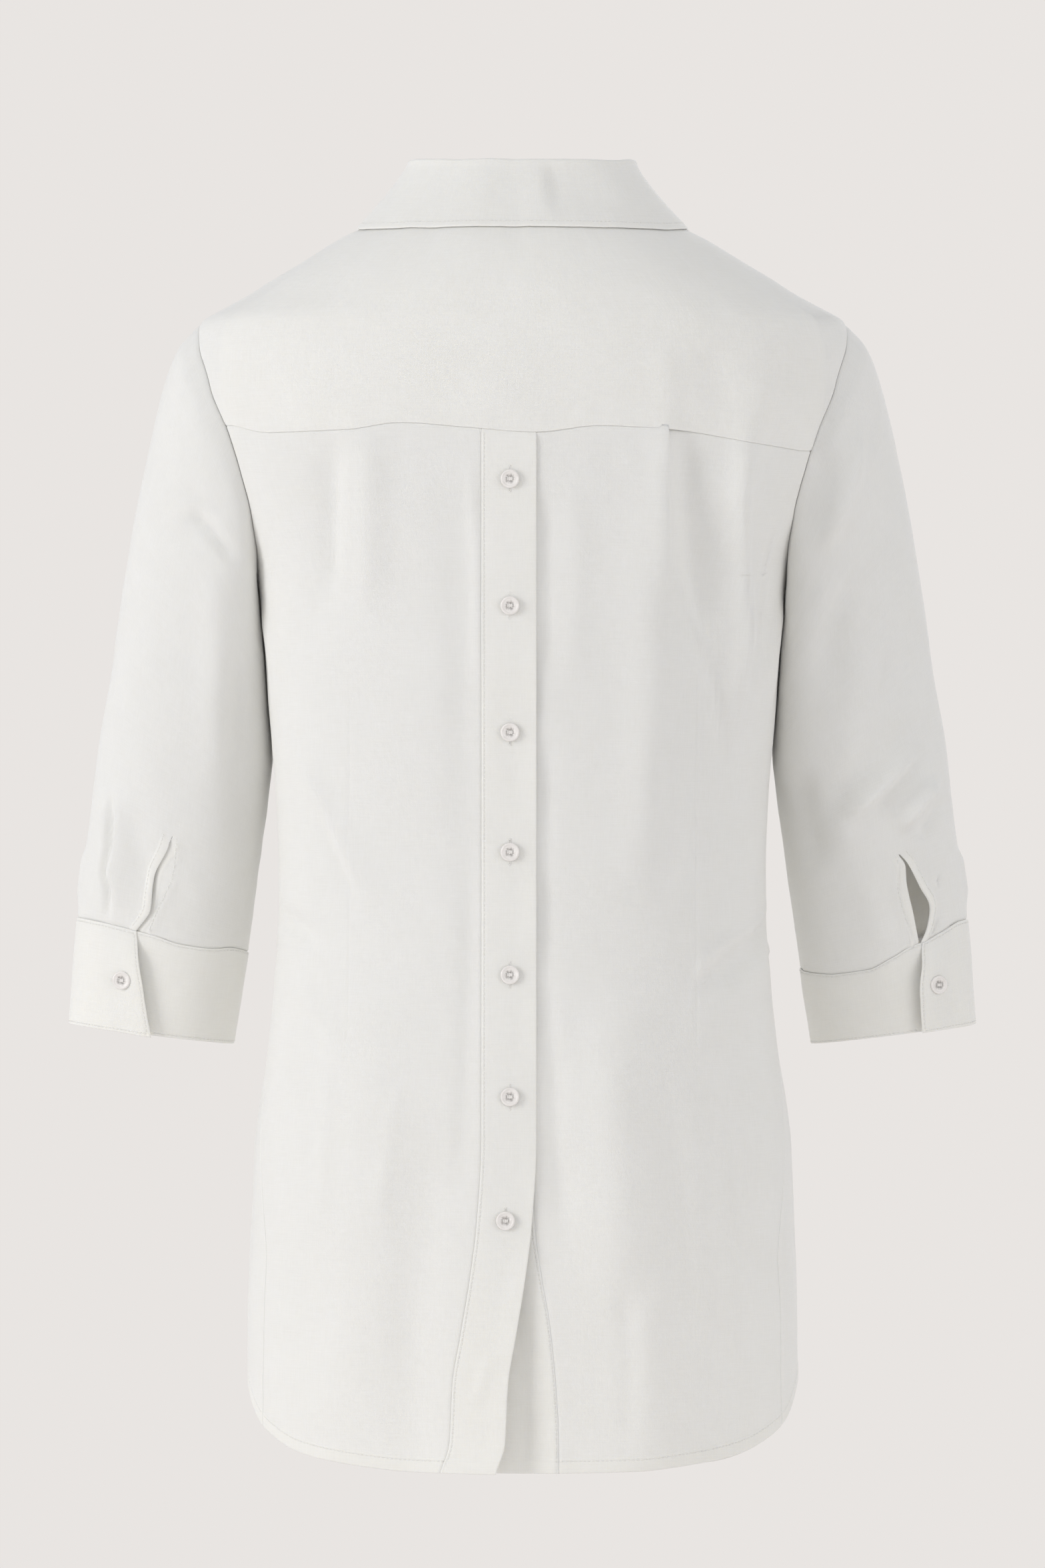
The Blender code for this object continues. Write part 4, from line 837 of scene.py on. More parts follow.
def shell(name, outer, outward, thickness, uv, closed_rows=None):
    """A closed cloth shell under a grid of points.

    outward is a point's rough outward direction, for all points or for each. closed_rows says
    of each row whether its ends are one point, as on a tube."""
    rows, columns = outer.shape[:2]
    closed = np.zeros(rows, bool) if closed_rows is None else np.asarray(closed_rows)
    normal = grid_normal(outer, joined=bool(closed.any()))
    if np.sum(normal * outward) < 0:
        normal = -normal
    depth = np.broadcast_to(thickness, (rows, columns))[..., None]
    inner = outer - normal * depth
    soft = np.zeros((rows, columns, 1))
    soft[0] = soft[-1] = soft[~closed, 0] = soft[~closed, -1] = EDGE_THINNED
    outer = outer - normal * depth * soft
    inner = inner + normal * depth * soft

    plain = np.arange(rows * columns).reshape(rows, columns)
    index = plain.copy()
    index[closed, -1] = index[closed, 0]
    shift = rows * columns

    def quads(grid):
        corners = grid[:-1, :-1], grid[:-1, 1:], grid[1:, 1:], grid[1:, :-1]
        return np.stack(corners, axis=-1).reshape(-1, 4)

    def rim(grid):
        free = ~(closed[:-1] & closed[1:])
        edges = [
            np.stack([grid[0, :-1], grid[0, 1:]], axis=-1),
            np.stack([grid[-1, 1:], grid[-1, :-1]], axis=-1),
            np.stack([grid[1:, 0], grid[:-1, 0]], axis=-1)[free],
            np.stack([grid[:-1, -1], grid[1:, -1]], axis=-1)[free],
        ]
        start, end = np.concatenate(edges).T
        return np.stack([end, start, start + shift, end + shift], axis=-1)

    face = quads(plain)[0]
    a, b, d = (outer.reshape(-1, 3)[face[k]] for k in (0, 1, 3))
    backwards = np.dot(np.cross(b - a, d - a), normal[0, 0]) < 0
    blocks, uv_blocks = [], []
    for made, grid in ((blocks, index), (uv_blocks, plain)):
        front, side = quads(grid), rim(grid)
        back = front[:, ::-1] + shift
        if backwards:
            front, back, side = front[:, ::-1], back[:, ::-1], side[:, ::-1]
        made += [front, back, side]
    points = np.concatenate([outer.reshape(-1, 3), inner.reshape(-1, 3)])
    uv = np.concatenate([uv.reshape(-1, 2), uv.reshape(-1, 2)])
    return add_object(name, points, blocks, LINEN, uv, uv_blocks)


def spaced(length, near_start, near_end, cell=CELL):
    """Shares of a length: set distances near both ends and even cells between them."""
    start, end = near_start[-1], length - near_end[-1]
    count = max(1, round((end - start) / cell))
    middle = np.linspace(start, end, count + 1)
    last = [length - d for d in near_end[:-1][::-1]]
    return np.concatenate([near_start[:-1], middle, last]) / length


def rows_between(bottom, top, near_bottom, near_top):
    """Rows of heights from one edge to another, with set distances near both."""
    low, high = bottom + near_bottom[-1], top - near_top[-1]
    count = max(1, round(float(np.mean(high - low)) / CELL))
    rows = [bottom + d for d in near_bottom[:-1]]
    rows += [low + (high - low) * share for share in np.linspace(0, 1, count + 1)]
    return rows + [top - d for d in near_top[:-1][::-1]]


def oval_spacing(count, turn):
    """Levels from 0 to 1, close together where an oval turns under."""
    angle = np.linspace(0, turn, count + 1)
    return (1 - np.cos(angle)) / (1 - math.cos(turn))


HEM_ROWS = (0.0, 0.0005, 0.0014, 0.0040, 0.0066, 0.0072, 0.0078, 0.0084, 0.0090, 0.0096, 0.0115)
SEAM_EDGE = (0.0, 0.0005, 0.0012, 0.0022, 0.0036)
ARM_ROWS = 34


def body_grid(start, end, shares, top, upper_shares):
    """Grids of u and z for a piece between two edges of the body, up to top(u)."""

    def across(z):
        return start(z) + (end(z) - start(z)) * shares

    bottom = rest_on(lambda z: hem_z(across(z)), np.full_like(shares, HEM_LEVEL), 5)
    upper = rest_on(lambda z: top(across(z)), np.full_like(shares, -0.1), 14, 0.5)
    level = np.full_like(shares, UNDERARM_Z)
    rows = rows_between(bottom, level, HEM_ROWS, (0.0, 0.0015))
    for high, part in zip([upper] if len(upper_shares) == 1 else [None, upper], upper_shares):
        high = np.full_like(shares, SHOULDER_SEAM_Z) if high is None else high
        low = rows[-1]
        rows += [low + (high - low) * share for share in part[1:]]
    z = np.array(rows)
    return across(z), z


def body_shell(name, u, z, rise, thickness):
    outer = body(u, z, rise)
    outward = outer * np.array([1.0, 1.0, 0.0])
    uv = np.stack([u * HALF_ROUND, z], axis=-1)
    return shell(name, outer, outward, thickness, uv)


def hem_rise(u, z):
    """A turned hem stands a little out from the cloth, and its sewing pulls it in."""
    above = z - hem_z(u)
    turned = HEM_RISE * (1 - smoothstep((above - HEM_WIDTH) / HEM_BLEND))
    sewn = -SEWN_DEPTH * np.exp(-(((above - HEM_STITCH) / SEWN_WIDTH) ** 2))
    return turned + sewn


def hem_thickness(u, z):
    above = z - hem_z(u)
    return CLOTH + HEM_THICKER * (1 - smoothstep((above - HEM_WIDTH) / HEM_BLEND))


# Sewing threads


class Threads:
    """Collects small stitches, to be made as one object."""

    def __init__(self):
        self.starts, self.ends, self.outs, self.radii = [], [], [], []

    def add(self, start, end, out, radius=THREAD_RADIUS):
        start, end = np.atleast_2d(start), np.atleast_2d(end)
        out = np.broadcast_to(out, start.shape)
        self.starts.append(start)
        self.ends.append(end)
        self.outs.append(out)
        self.radii.append(np.full(len(start), radius))

    def sew(self, points, outs):
        """Running stitches along a line of points."""
        run = np.concatenate([[0], np.cumsum(np.linalg.norm(np.diff(points, axis=0), axis=1))])
        count = max(1, int(run[-1] / STITCH_PITCH))
        at = (np.arange(count) + 0.5) * run[-1] / count
        half = STITCH_LENGTH / 2
        start, end = (between(at + shift, run, points) for shift in (-half, half))
        self.add(start, end, unit(between(at, run, outs)))

    def make(self, name):
        start, end = np.concatenate(self.starts), np.concatenate(self.ends)
        out, radius = np.concatenate(self.outs), np.concatenate(self.radii)[:, None]
        along = unit(end - start)
        side = unit(np.cross(along, out))
        up = np.cross(side, along)
        ring = [(1.0, 0.0), (0.0, THREAD_FLAT), (-1.0, 0.0), (0.0, -THREAD_FLAT)]
        places = [start - up * radius]
        for share in (STITCH_TAPER, 1 - STITCH_TAPER):
            centre = start + (end - start) * share
            places += [centre + (side * a + up * b) * radius for a, b in ring]
        places.append(end - up * radius)
        points = np.stack(places, axis=1).reshape(-1, 3)
        low, high = [1, 2, 3, 4], [5, 6, 7, 8]
        triangles, quads = [], []
        for k in range(4):
            after = (k + 1) % 4
            triangles += [(0, low[after], low[k]), (9, high[k], high[after])]
            quads.append((low[k], low[after], high[after], high[k]))
        first = (np.arange(len(start)) * 10)[:, None, None]
        blocks = [(first + np.array(kind)).reshape(-1, len(kind[0])) for kind in (triangles, quads)]
        thing = add_object(name, points, blocks, THREAD)
        settle(thing, "linen")
        return thing


def settle(thing, slot, *nodes):
    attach(thing, "root")
    if nodes:
        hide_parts(*nodes)


def body_line(u, z, rise):
    """Points on the body's cloth and the directions out of it."""
    u, z = np.broadcast_arrays(np.asarray(u, float), np.asarray(z, float))
    return body(u, z, rise), normal_of(plain_body, u, z)


def body_point(u, z, rise):
    points, outs = body_line([u], [z], rise)
    return points[0], outs[0]


# Materials


class Nodes:
    """A material's node tree, built by short calls."""

    def __init__(self, name):
        self.material = bpy.data.materials.new(name)
        self.material.use_nodes = True
        self.tree = self.material.node_tree
        self.shader = self.tree.nodes["Principled BSDF"]

    def node(self, kind, inputs=None, **settings):
        node = self.tree.nodes.new("ShaderNode" + kind)
        for key, value in settings.items():
            setattr(node, key, value)
        for key, value in (inputs or {}).items():
            if isinstance(value, bpy.types.NodeSocket):
                self.tree.links.new(value, node.inputs[key])
            else:
                node.inputs[key].default_value = value
        return node

    def math(self, operation, first, second=0.0):
        return self.node("Math", {0: first, 1: second}, operation=operation).outputs[0]

    def noise(self, vector, scale, detail=2.0, roughness=0.5):
        inputs = {"Vector": vector, "Scale": scale, "Detail": detail, "Roughness": roughness}
        return self.node("TexNoise", inputs).outputs["Fac"]

    def stretch(self, vector, scale):
        inputs = {"Vector": vector, "Scale": scale}
        return self.node("Mapping", inputs).outputs["Vector"]

    def ramp(self, shade, low, high, start=0.0, end=1.0):
        """Blends two colours by shade, from start to end."""
        node = self.node("ValToRGB", {"Fac": shade})
        for element, position, colour in zip(node.color_ramp.elements, (start, end), (low, high)):
            element.position = position
            element.color = (*colour, 1)
        return node.outputs["Color"]

    def bump(self, height, strength, distance, normal=None):
        inputs = {"Height": height, "Strength": strength, "Distance": distance}
        if normal:
            inputs["Normal"] = normal
        return self.node("Bump", inputs).outputs["Normal"]

    def set(self, **values):
        """Links nodes' outputs to the shader, and sets what is the same all over on it."""
        for key, value in values.items():
            socket = self.shader.inputs[key.replace("_", " ")]
            if isinstance(value, bpy.types.NodeSocket):
                self.tree.links.new(value, socket)
            else:
                socket.default_value = value


THREAD_WAVE = 0.00085  # two threads of the weave


def make_linen():
    """Plain-weave linen. Its threads run along the piece's own width and length."""
    m = Nodes("linen_cloth")
    place = m.node("UVMap", uv_map="cloth").outputs["UV"]
    solid = m.node("TexCoord").outputs["Object"]
    split = m.node("SeparateXYZ", {"Vector": place}).outputs
    thread = 2 * math.pi / THREAD_WAVE

    def threads(axis, drift_scale):
        """Waves across one set of threads, which wander a little."""
        drift = m.math("MULTIPLY", m.noise(m.stretch(place, drift_scale), 1.0), 2.4)
        return m.math("SINE", m.math("ADD", m.math("MULTIPLY", split[axis], thread), drift))

    weave = m.math("MULTIPLY", threads("X", (400.0, 40.0, 1.0)), threads("Y", (40.0, 400.0, 1.0)))
    slub_along = m.noise(m.stretch(place, (1500.0, 70.0, 1.0)), 1.0, 2.0, 0.6)
    slub_across = m.noise(m.stretch(place, (60.0, 1700.0, 1.0)), 1.0, 2.0, 0.6)
    slubs = m.math("ADD", slub_along, slub_across)
    patches = m.noise(solid, 26.0, 3.0, 0.55)
    crumples = m.noise(solid, 120.0, 3.0, 0.6)
    shade = m.math("ADD", m.math("MULTIPLY", slubs, 0.45), m.math("MULTIPLY", patches, 0.35))
    normal = m.bump(crumples, 0.20, 0.0012)
    normal = m.bump(slubs, 0.22, 0.00016, normal)
    normal = m.bump(weave, 0.25, 0.00008, normal)
    m.set(
        Base_Color=m.ramp(shade, (0.800, 0.792, 0.756), (0.885, 0.882, 0.858), 0.28),
        Roughness=m.math("ADD", 0.76, m.math("MULTIPLY", slubs, 0.10)),
        Specular_IOR_Level=0.28, Sheen_Weight=0.16, Sheen_Roughness=0.45, Metallic=0.0,
        Subsurface_Weight=0.6, Subsurface_Scale=0.0014, Subsurface_Radius=(1.0, 0.96, 0.86),
        Normal=normal,
    )
    return m.material


def make_thread():
    m = Nodes("sewing_thread")
    solid = m.node("TexCoord").outputs["Object"]
    ply = m.node("TexWave", {"Vector": solid, "Scale": 1400.0, "Distortion": 2.0}).outputs["Fac"]
    m.set(
        Base_Color=m.ramp(m.noise(solid, 300.0), (0.86, 0.85, 0.82), (0.93, 0.92, 0.90)),
        Roughness=0.55, Sheen_Weight=0.2, Sheen_Roughness=0.4,
        Normal=m.bump(ply, 0.2, 0.0001),
    )
    return m.material


def make_shell_button():
    """White shirt button with a soft depth and faint clouds."""
    m = Nodes("button_white")
    cloud = m.noise(m.node("TexCoord").outputs["Object"], 260.0, 4.0, 0.6)
    m.set(
        Base_Color=m.ramp(cloud, (0.80, 0.77, 0.745), (0.90, 0.875, 0.855), 0.3, 0.75),
        Roughness=m.math("ADD", 0.24, m.math("MULTIPLY", cloud, 0.12)),
        Coat_Weight=0.25, Coat_Roughness=0.15,
        Normal=m.bump(cloud, 0.05, 0.0003),
    )
    return m.material


# Body pieces


def place_cloth(thing, node, stitches=None):
    """Hangs a piece under the root and hides the solid of its node."""
    settle(thing, "linen", node)


def sew_hem(threads, u, rise_of):
    """A line of sewing along the hem, on cloth that stands out by rise_of(u, z, x)."""
    z = hem_z(u) + HEM_STITCH
    threads.sew(*body_line(u, z, rise_of(u, z, plain_x(u, z)) + SEW_OUT))


# As the photo shows them
PLEAT_X, PLEAT_END_Z = 0.0908, -0.205
DART_X, DART_TOP_Z, DART_END_Z = 0.1085, -0.262, -0.537
PLEAT_OVER, PLEAT_FALLEN = 0.0014, 0.0023  # the cloth rises and sinks this much at its edge
PLEAT_REACH, PLEAT_EDGE, PLEAT_FADE = 0.012, 0.0010, 0.055
DART_TUCK, DART_PINCH, DART_EDGE = 0.00022, 0.00036, 0.0010
DART_REACH, DART_FADE = 0.010, 0.05
LEFT_DART = 0.6  # the left dart is this much of the right one
# Columns of the panels' meshes lie along these lines, at these shares of the panels' widths
PANEL_LINES = {1: (PLEAT_X, DART_X), -1: (DART_X, PLEAT_X)}
PANEL_KNOTS = {1: (0.50, 0.62), -1: (0.38, 0.50)}
BACK_WIDTH = {1: 0.205, -1: 0.185}
FRONT_WIDTH = 0.225


def warp(shares, knots, places):
    """shares with each of the knots moved to its place, an array over the piece."""
    knots = [0.0, *knots, 1.0]
    places = [0.0, *places, 1.0]
    moved = 0.0
    for k in range(len(knots) - 1):
        part = (shares - knots[k]) / (knots[k + 1] - knots[k])
        value = places[k] + (places[k + 1] - places[k]) * part
        moved = np.where((part >= 0) & (part <= 1), value, moved)
    return moved


def around_knot(share, width):
    """Shares close to a line that the cloth folds or is sewn along."""
    offsets = np.array([-0.0045, -0.0025, -0.0012, -0.0005, 0.0, 0.0005, 0.0012, 0.0025, 0.0045])
    return share + offsets / width


def back_panel_grid(side, start, end):
    """u and z of a back panel, with columns along its pleat and dart."""
    width, knots = BACK_WIDTH[side], PANEL_KNOTS[side]
    base = spaced(width, SEAM_EDGE, SEAM_EDGE)
    extra = np.concatenate([around_knot(k, width) for k in knots])
    keep = [s for s in base if np.min(np.abs(s - extra)) > 0.0016 / width]
    shares = np.sort(np.concatenate([keep, extra]))

    def across(s, z):
        low, wide = start(z), end(z) - start(z)
        lines = [back_u(np.full_like(z, side * x / PHOTO_SCALE), z) for x in PANEL_LINES[side]]
        spots = [np.clip((line - low) / wide, 0.02, 0.98) for line in lines]
        return low + wide * warp(s, knots, spots)

    bottom = rest_on(lambda z: hem_z(across(shares, z)), np.full_like(shares, HEM_LEVEL), 6)
    top = np.full_like(shares, -0.12)
    top = rest_on(lambda z: seam_z(across(shares, z)) + SEAM_LAP, top, 12, 0.5)
    level = np.full_like(shares, UNDERARM_Z)
    rows = rows_between(bottom, level, HEM_ROWS, (0.0, 0.0015))
    seam = top - SEAM_LAP
    reach = seam - 0.0022
    rows += [level + (reach - level) * share for share in oval_spacing(ARM_ROWS, 1.85)[1:]]
    z = np.array([*rows, seam - 0.0010, seam - 0.0002, seam + 0.0008, top])
    return across(np.broadcast_to(shares, z.shape), z), z


def seam_dip(distance, reach=0.0016):
    """How far cloth turns down at a seam, by distance from it."""
    return -SEAM_DIP * (1 - smoothstep(distance / reach))


def back_rise(side, u, z):
    """What the sewing does to a back panel: seams, hem, pleat and dart."""
    x = plain_x(u, z)
    to_side = (back_side_edge(z) - np.abs(u)) * HALF_ROUND
    rise = hem_rise(u, z) + seam_dip(to_side) + under_yoke(u, z, 0.0007)
    pleat_x, end_z = seen(PLEAT_X, PLEAT_END_Z)
    fade = smoothstep((z - end_z) / PLEAT_FADE)
    past = side * x - pleat_x
    if side > 0:
        over = PLEAT_OVER * np.exp(-((np.minimum(past, 0) / PLEAT_REACH) ** 2))
        fallen = -PLEAT_FALLEN * np.exp(-((np.maximum(past, 0) / PLEAT_REACH) ** 2))
        step = smoothstep((past + 0.0004) / PLEAT_EDGE)
        rise = rise + fade * (over * (1 - step) + fallen * step)
    dart_x = DART_X / PHOTO_SCALE
    dart_low, dart_high = seen(0, DART_END_Z)[1], seen(0, DART_TOP_Z)[1]
    dart = smoothstep((z - dart_low) / DART_FADE) * smoothstep((dart_high - z) / DART_FADE)
    beside = side * x - dart_x
    fall = np.exp(-np.maximum(beside, 0) / DART_REACH)
    tuck = DART_TUCK * (smoothstep((beside + DART_EDGE / 2) / DART_EDGE) * fall)
    pinch = -DART_PINCH * np.exp(-((beside / DART_EDGE) ** 2))
    return rise + dart * (tuck + pinch) * (1.0 if side > 0 else LEFT_DART)


def make_back():
    def left_start(z):
        return -back_side_edge(z)

    def left_end(z):
        return back_u(placket_edges(z)[0] + SEAM_LAP, z)

    def right_start(z):
        return back_u(underlap_edges(z)[1] - SEAM_LAP, z)

    def left_rise(u, z, x):
        return back_rise(-1, u, z) + lift_placket(x, z)

    def right_lap(x, z):
        return drop_lap(np.maximum(x - underlap_edges(z)[1], 0))

    def right_rise(u, z, x):
        below_yoke = smoothstep((seam_z(u) - z - 0.004) / 0.026)
        return back_rise(1, u, z) + right_lap(x, z) * (0.3 + 0.7 * below_yoke)

    u, z = back_panel_grid(-1, left_start, left_end)
    x = plain_x(u, z)
    rise = left_rise(u, z, x) + tuck_under(x - placket_edges(z)[0])
    left = body_shell("back_left_cloth", u, z, rise, hem_thickness(u, z))

    u, z = back_panel_grid(1, right_start, back_side_edge)
    x = plain_x(u, z)
    rise = right_rise(u, z, x) + tuck_over(x - underlap_edges(z)[1])
    right = body_shell("back_right_cloth", u, z, rise, hem_thickness(u, z))

    threads = Threads()
    for side, limit in ((-1, left_end), (1, right_start)):
        near = hem_z(np.zeros(1))
        ends = sorted((float(side * back_side_edge(np.array(SIDE_HEM_Z))), float(limit(near)[0])))
        sew_hem(threads, np.linspace(*ends, 300), left_rise if side < 0 else right_rise)
    place_cloth(left, "back_left", threads.make("back_hem_stitching"))
    place_cloth(right, "back_right")


def band_grid(edges, to_u, shares, top, front=False):
    def start(z):
        return to_u(edges(z)[0], z)

    def end(z):
        return to_u(edges(z)[1], z)

    if front:
        parts = [np.linspace(0, 1, 61), np.linspace(0, 1, 16)]
    else:
        parts = [np.linspace(0, 1, 34)]
    return body_grid(start, end, shares, top, parts)


BAND_EDGE = (0.0, 0.0004, 0.0010, 0.0016, 0.0022, 0.0030)


def pulled_in(distance, depth=SEWN_DEPTH):
    """How a line of sewing beside an edge pulls doubled cloth in, by distance from the edge."""
    return -depth * np.exp(-(((distance - EDGE_STITCH) / 0.0005) ** 2))


def band_shell(name, u, z, x, edges, rise, sewn):
    """A doubled band with a line of sewing beside each edge named in sewn."""
    low, high = edges(z)
    for side, distance in ((0, x - low), (1, high - x)):
        if side in sewn:
            rise = rise + pulled_in(distance)
    return body_shell(name, u, z, rise + hem_rise(u, z), DOUBLE)


def sew_band(threads, edges, to_u, place, z, rise):
    """A line of sewing up a band: place is (edge number, distance inside it)."""
    number, inside = place
    x = edges(z)[number] + (inside if number == 0 else -inside)
    u = to_u(x, z)
    threads.sew(*body_line(u, z, rise(x, z) + 0.00008))


def make_buttonhole(threads, centre, out, upright=True):
    """Close zigzag stitches down both sides of a slit, and across the ends of an upright one."""
    along = unit(np.array([0.0, 0.0, 1.0]) - out * out[2])
    across = np.cross(along, out)
    if not upright:
        along, across = across, along
    half, half_width = BUTTONHOLE_LENGTH / 2, BUTTONHOLE_WIDTH / 2

    def stitch(at, first, last, lift):
        start, end = (centre + along * at + across * place + out * lift for place in (first, last))
        threads.add(start, end, out, BUTTONHOLE_THREAD)

    for side in (-1, 1):
        at = np.arange(-half, half, BUTTONHOLE_PITCH)[:, None]
        stitch(at, side * BUTTONHOLE_SLIT, side * half_width, 0.00004)
    for end in (-1, 1) if upright else ():
        at = (np.arange(3) * BUTTONHOLE_PITCH)[:, None] * end + end * half
        stitch(at, -half_width, half_width, 0.00005)


def make_back_bands():
    def over(x, z):
        sunk = under_yoke(back_u(x, z), z, 0.0013)
        return BAND_RISE + lift_placket(x, z) + sunk + placket_crease(x, z) + gape(x, z)

    def under(x, z):
        inside = smoothstep((underlap_edges(z)[1] - x) / 0.022)
        parted = underlap_swing(z) / UNDERLAP_SWING[0][1]
        return -LAP_DROP - LAP_HOLLOW * parted * inside + under_yoke(back_u(x, z), z, 0.0013)

    def top(u):
        return seam_z(u) + SEAM_LAP

    shares = spaced(BAND_WIDTH, BAND_EDGE, BAND_EDGE, FINE_CELL)
    u, z = band_grid(placket_edges, back_u, shares, top)
    x = plain_x(u, z)
    placket = band_shell("placket_cloth", u, z, x, placket_edges, over(x, z), (0,))
    shares = spaced(BAND_WIDTH - UNDERLAP_NARROWER, BAND_EDGE, BAND_EDGE, FINE_CELL)
    u, z = band_grid(underlap_edges, back_u, shares, top)
    x = plain_x(u, z)
    underlap = band_shell("underlap_cloth", u, z, x, underlap_edges, under(x, z), (1,))

    threads = Threads()
    z = np.linspace(*PLACKET_SEWN_Z, 900)
    sew_band(threads, placket_edges, back_u, (0, EDGE_STITCH), z, over)
    z = np.linspace(*UNDERLAP_SEWN_Z, 240)
    sew_band(threads, underlap_edges, back_u, (1, EDGE_STITCH), z, under)
    for z in BACK_BUTTON_Z:
        x = BACK_BUTTON_X + float(placket_swing(z))
        rise = float(over(np.array(x), np.array(z)))
        make_buttonhole(threads, *body_point(float(back_u(x, z)), z, rise))
    place_cloth(placket, "back_placket", threads.make("placket_stitching"))
    place_cloth(underlap, "back_underlap")


def gape(x, z):
    """The placket's free edge stands out between the buttons."""
    held = np.zeros_like(z)
    for at in BACK_BUTTON_Z:
        held = np.maximum(held, np.exp(-(((z - at) / 0.017) ** 2)))
    near_yoke = smoothstep((-0.128 - z) / 0.010)
    reach = smoothstep((x - placket_edges(z)[1] + 0.014) / 0.014)
    uneven = 1 + 0.5 * waves(z, z * 0, 0.05, EDGE_SEED)
    return PLACKET_GAPE * uneven * reach * (1 - 0.85 * held) * near_yoke


def placket_crease(x, z):
    """The parted placket bends along one slanting crease."""
    crease = Crease(((-0.0185, -0.688), (-0.0240, -0.702), (-0.0300, -0.722)), 0.0045, 0.0010, 0.5)
    return crease_height([crease], x, z)


def make_front():
    def right_end(z):
        return front_u(front_over_edges(z)[1] - SEAM_LAP, z, 1)

    def left_start(z):
        return front_u(front_under_edges(z)[0] + SEAM_LAP, z, -1)

    def left_end(z):
        return -front_side_edge(z)

    def plain_rise(u, z):
        to_side = (np.abs((u + 1) % 2 - 1) - front_side_edge(z)) * HALF_ROUND
        return hem_rise(u, z) + seam_dip(to_side)

    def right_rise(u, z, x):
        return plain_rise(u, z) + lift_front(x, z)

    def left_rise(u, z, x):
        return plain_rise(u, z) + drop_lap(np.maximum(front_under_edges(z)[0] - x, 0))

    parts = [oval_spacing(60, 2.75), np.linspace(0, 1, 16)]
    shares = spaced(FRONT_WIDTH, SEAM_EDGE, SEAM_EDGE)
    u, z = body_grid(front_side_edge, right_end, shares, neck_z, parts)
    x = plain_x(u, z)
    rise = right_rise(u, z, x) + tuck_under(front_over_edges(z)[1] - x)
    right = body_shell("front_right_cloth", u, z, rise, hem_thickness(u, z))
    u, z = body_grid(left_start, left_end, shares, neck_z, parts)
    x = plain_x(u, z)
    rise = left_rise(u, z, x) + tuck_over(front_under_edges(z)[0] - x)
    left = body_shell("front_left_cloth", u, z, rise, hem_thickness(u, z))
    threads = Threads()
    sew_hem(threads, np.linspace(0.39, 0.955, 500), right_rise)
    sew_hem(threads, np.linspace(-0.95, -0.39, 500), left_rise)
    place_cloth(right, "front_right", threads.make("front_hem_stitching"))
    place_cloth(left, "front_left")


def make_front_bands():
    def right_u(x, z):
        return front_u(x, z, 1)

    def left_u(x, z):
        return front_u(x, z, -1)

    def over(x, z):
        return BAND_RISE + lift_front(x, z)

    shares = spaced(BAND_WIDTH, BAND_EDGE, BAND_EDGE, FINE_CELL)
    u, z = band_grid(front_over_edges, right_u, shares, neck_z, front=True)
    x = plain_x(u, z)
    band = band_shell("front_band_cloth", u, z, x, front_over_edges, over(x, z), (0, 1))
    u, z = band_grid(front_under_edges, left_u, shares, neck_z, front=True)
    x = plain_x(u, z)
    under_band = band_shell("front_under_band_cloth", u, z, x, front_under_edges, -LAP_DROP, (0,))
    threads = Threads()
    z = np.linspace(*FRONT_SEWN_Z, 1000)
    for number in (0, 1):
        sew_band(threads, front_over_edges, right_u, (number, EDGE_STITCH), z, over)
    for count in range(FRONT_BUTTONS):
        z = FRONT_BUTTON_TOP_Z - FRONT_BUTTON_STEP * count
        make_buttonhole(threads, *body_point(1.0, z, BAND_RISE))
    place_cloth(band, "front_band", threads.make("front_band_stitching"))
    place_cloth(under_band, "front_under_band")


YOKE_WIDTH = 0.40
YOKE_ROWS = (0.0, 0.0004, 0.0010, 0.0016, 0.0024, 0.0040)
YOKE_RISE, YOKE_THICKER = 0.00035, 0.0003  # along its seam


def make_yoke():
    """The yoke's edge runs along its back seam, up one armhole, over and down to its front."""

    def arm(side):
        def armhole_seam(z):
            return seam_z(side * armhole_u(z, front=False))

        corner = float(rest_on(armhole_seam, np.array(-0.13), 30, 0.5))
        first, last = (
            math.acos((z - ARMHOLE_MIDDLE_Z) / ARMHOLE_HALF_HEIGHT) for z in (corner, SHOULDER_SEAM_Z)
        )
        z_back = ARMHOLE_MIDDLE_Z + ARMHOLE_HALF_HEIGHT * np.cos(np.linspace(first, 0, 30))
        z_front = ARMHOLE_MIDDLE_Z + ARMHOLE_HALF_HEIGHT * np.cos(np.linspace(0, last, 7)[1:])
        u = np.concatenate([armhole_u(z_back, front=False), armhole_u(z_front, front=True)])
        return side * u, np.concatenate([z_back, z_front])

    left, right = arm(-1), arm(1)
    count = round(YOKE_WIDTH / CELL)
    u_mid = np.linspace(left[0][0], right[0][0], count + 1)[1:-1]
    u = np.concatenate([left[0][::-1], u_mid, right[0]])
    low = np.concatenate([left[1][::-1], seam_z(u_mid), right[1]])
    top = neck_z(u)
    on_seam = np.zeros_like(u)
    on_seam[len(left[0]) : -len(right[0])] = 1.0
    z = np.array(rows_between(low, top, YOKE_ROWS, (0.0, 0.002)))
    u = np.broadcast_to(u, z.shape)
    above = z - low
    over_seam = YOKE_RISE * (1 - smoothstep((above - 0.003) / 0.006))
    edge = np.where(on_seam > 0, over_seam, seam_dip(above, 0.0020))
    yoke = body_shell("yoke_cloth", u, z, edge, CLOTH + YOKE_THICKER * on_seam)
    place_cloth(yoke, "yoke")


# Sleeves and cuffs

SLEEVE_LINES = {
    key: column(SLEEVE, "share", key)
    for key in ("outer_x", "outer_z", "inner_x", "inner_z", "centre_y", "half_depth")
}
SLEEVE_ROUNDNESS = 0.92
SLEEVE_PHOTO_SCALE = 1.003  # as PHOTO_SCALE, for the sleeves' backs


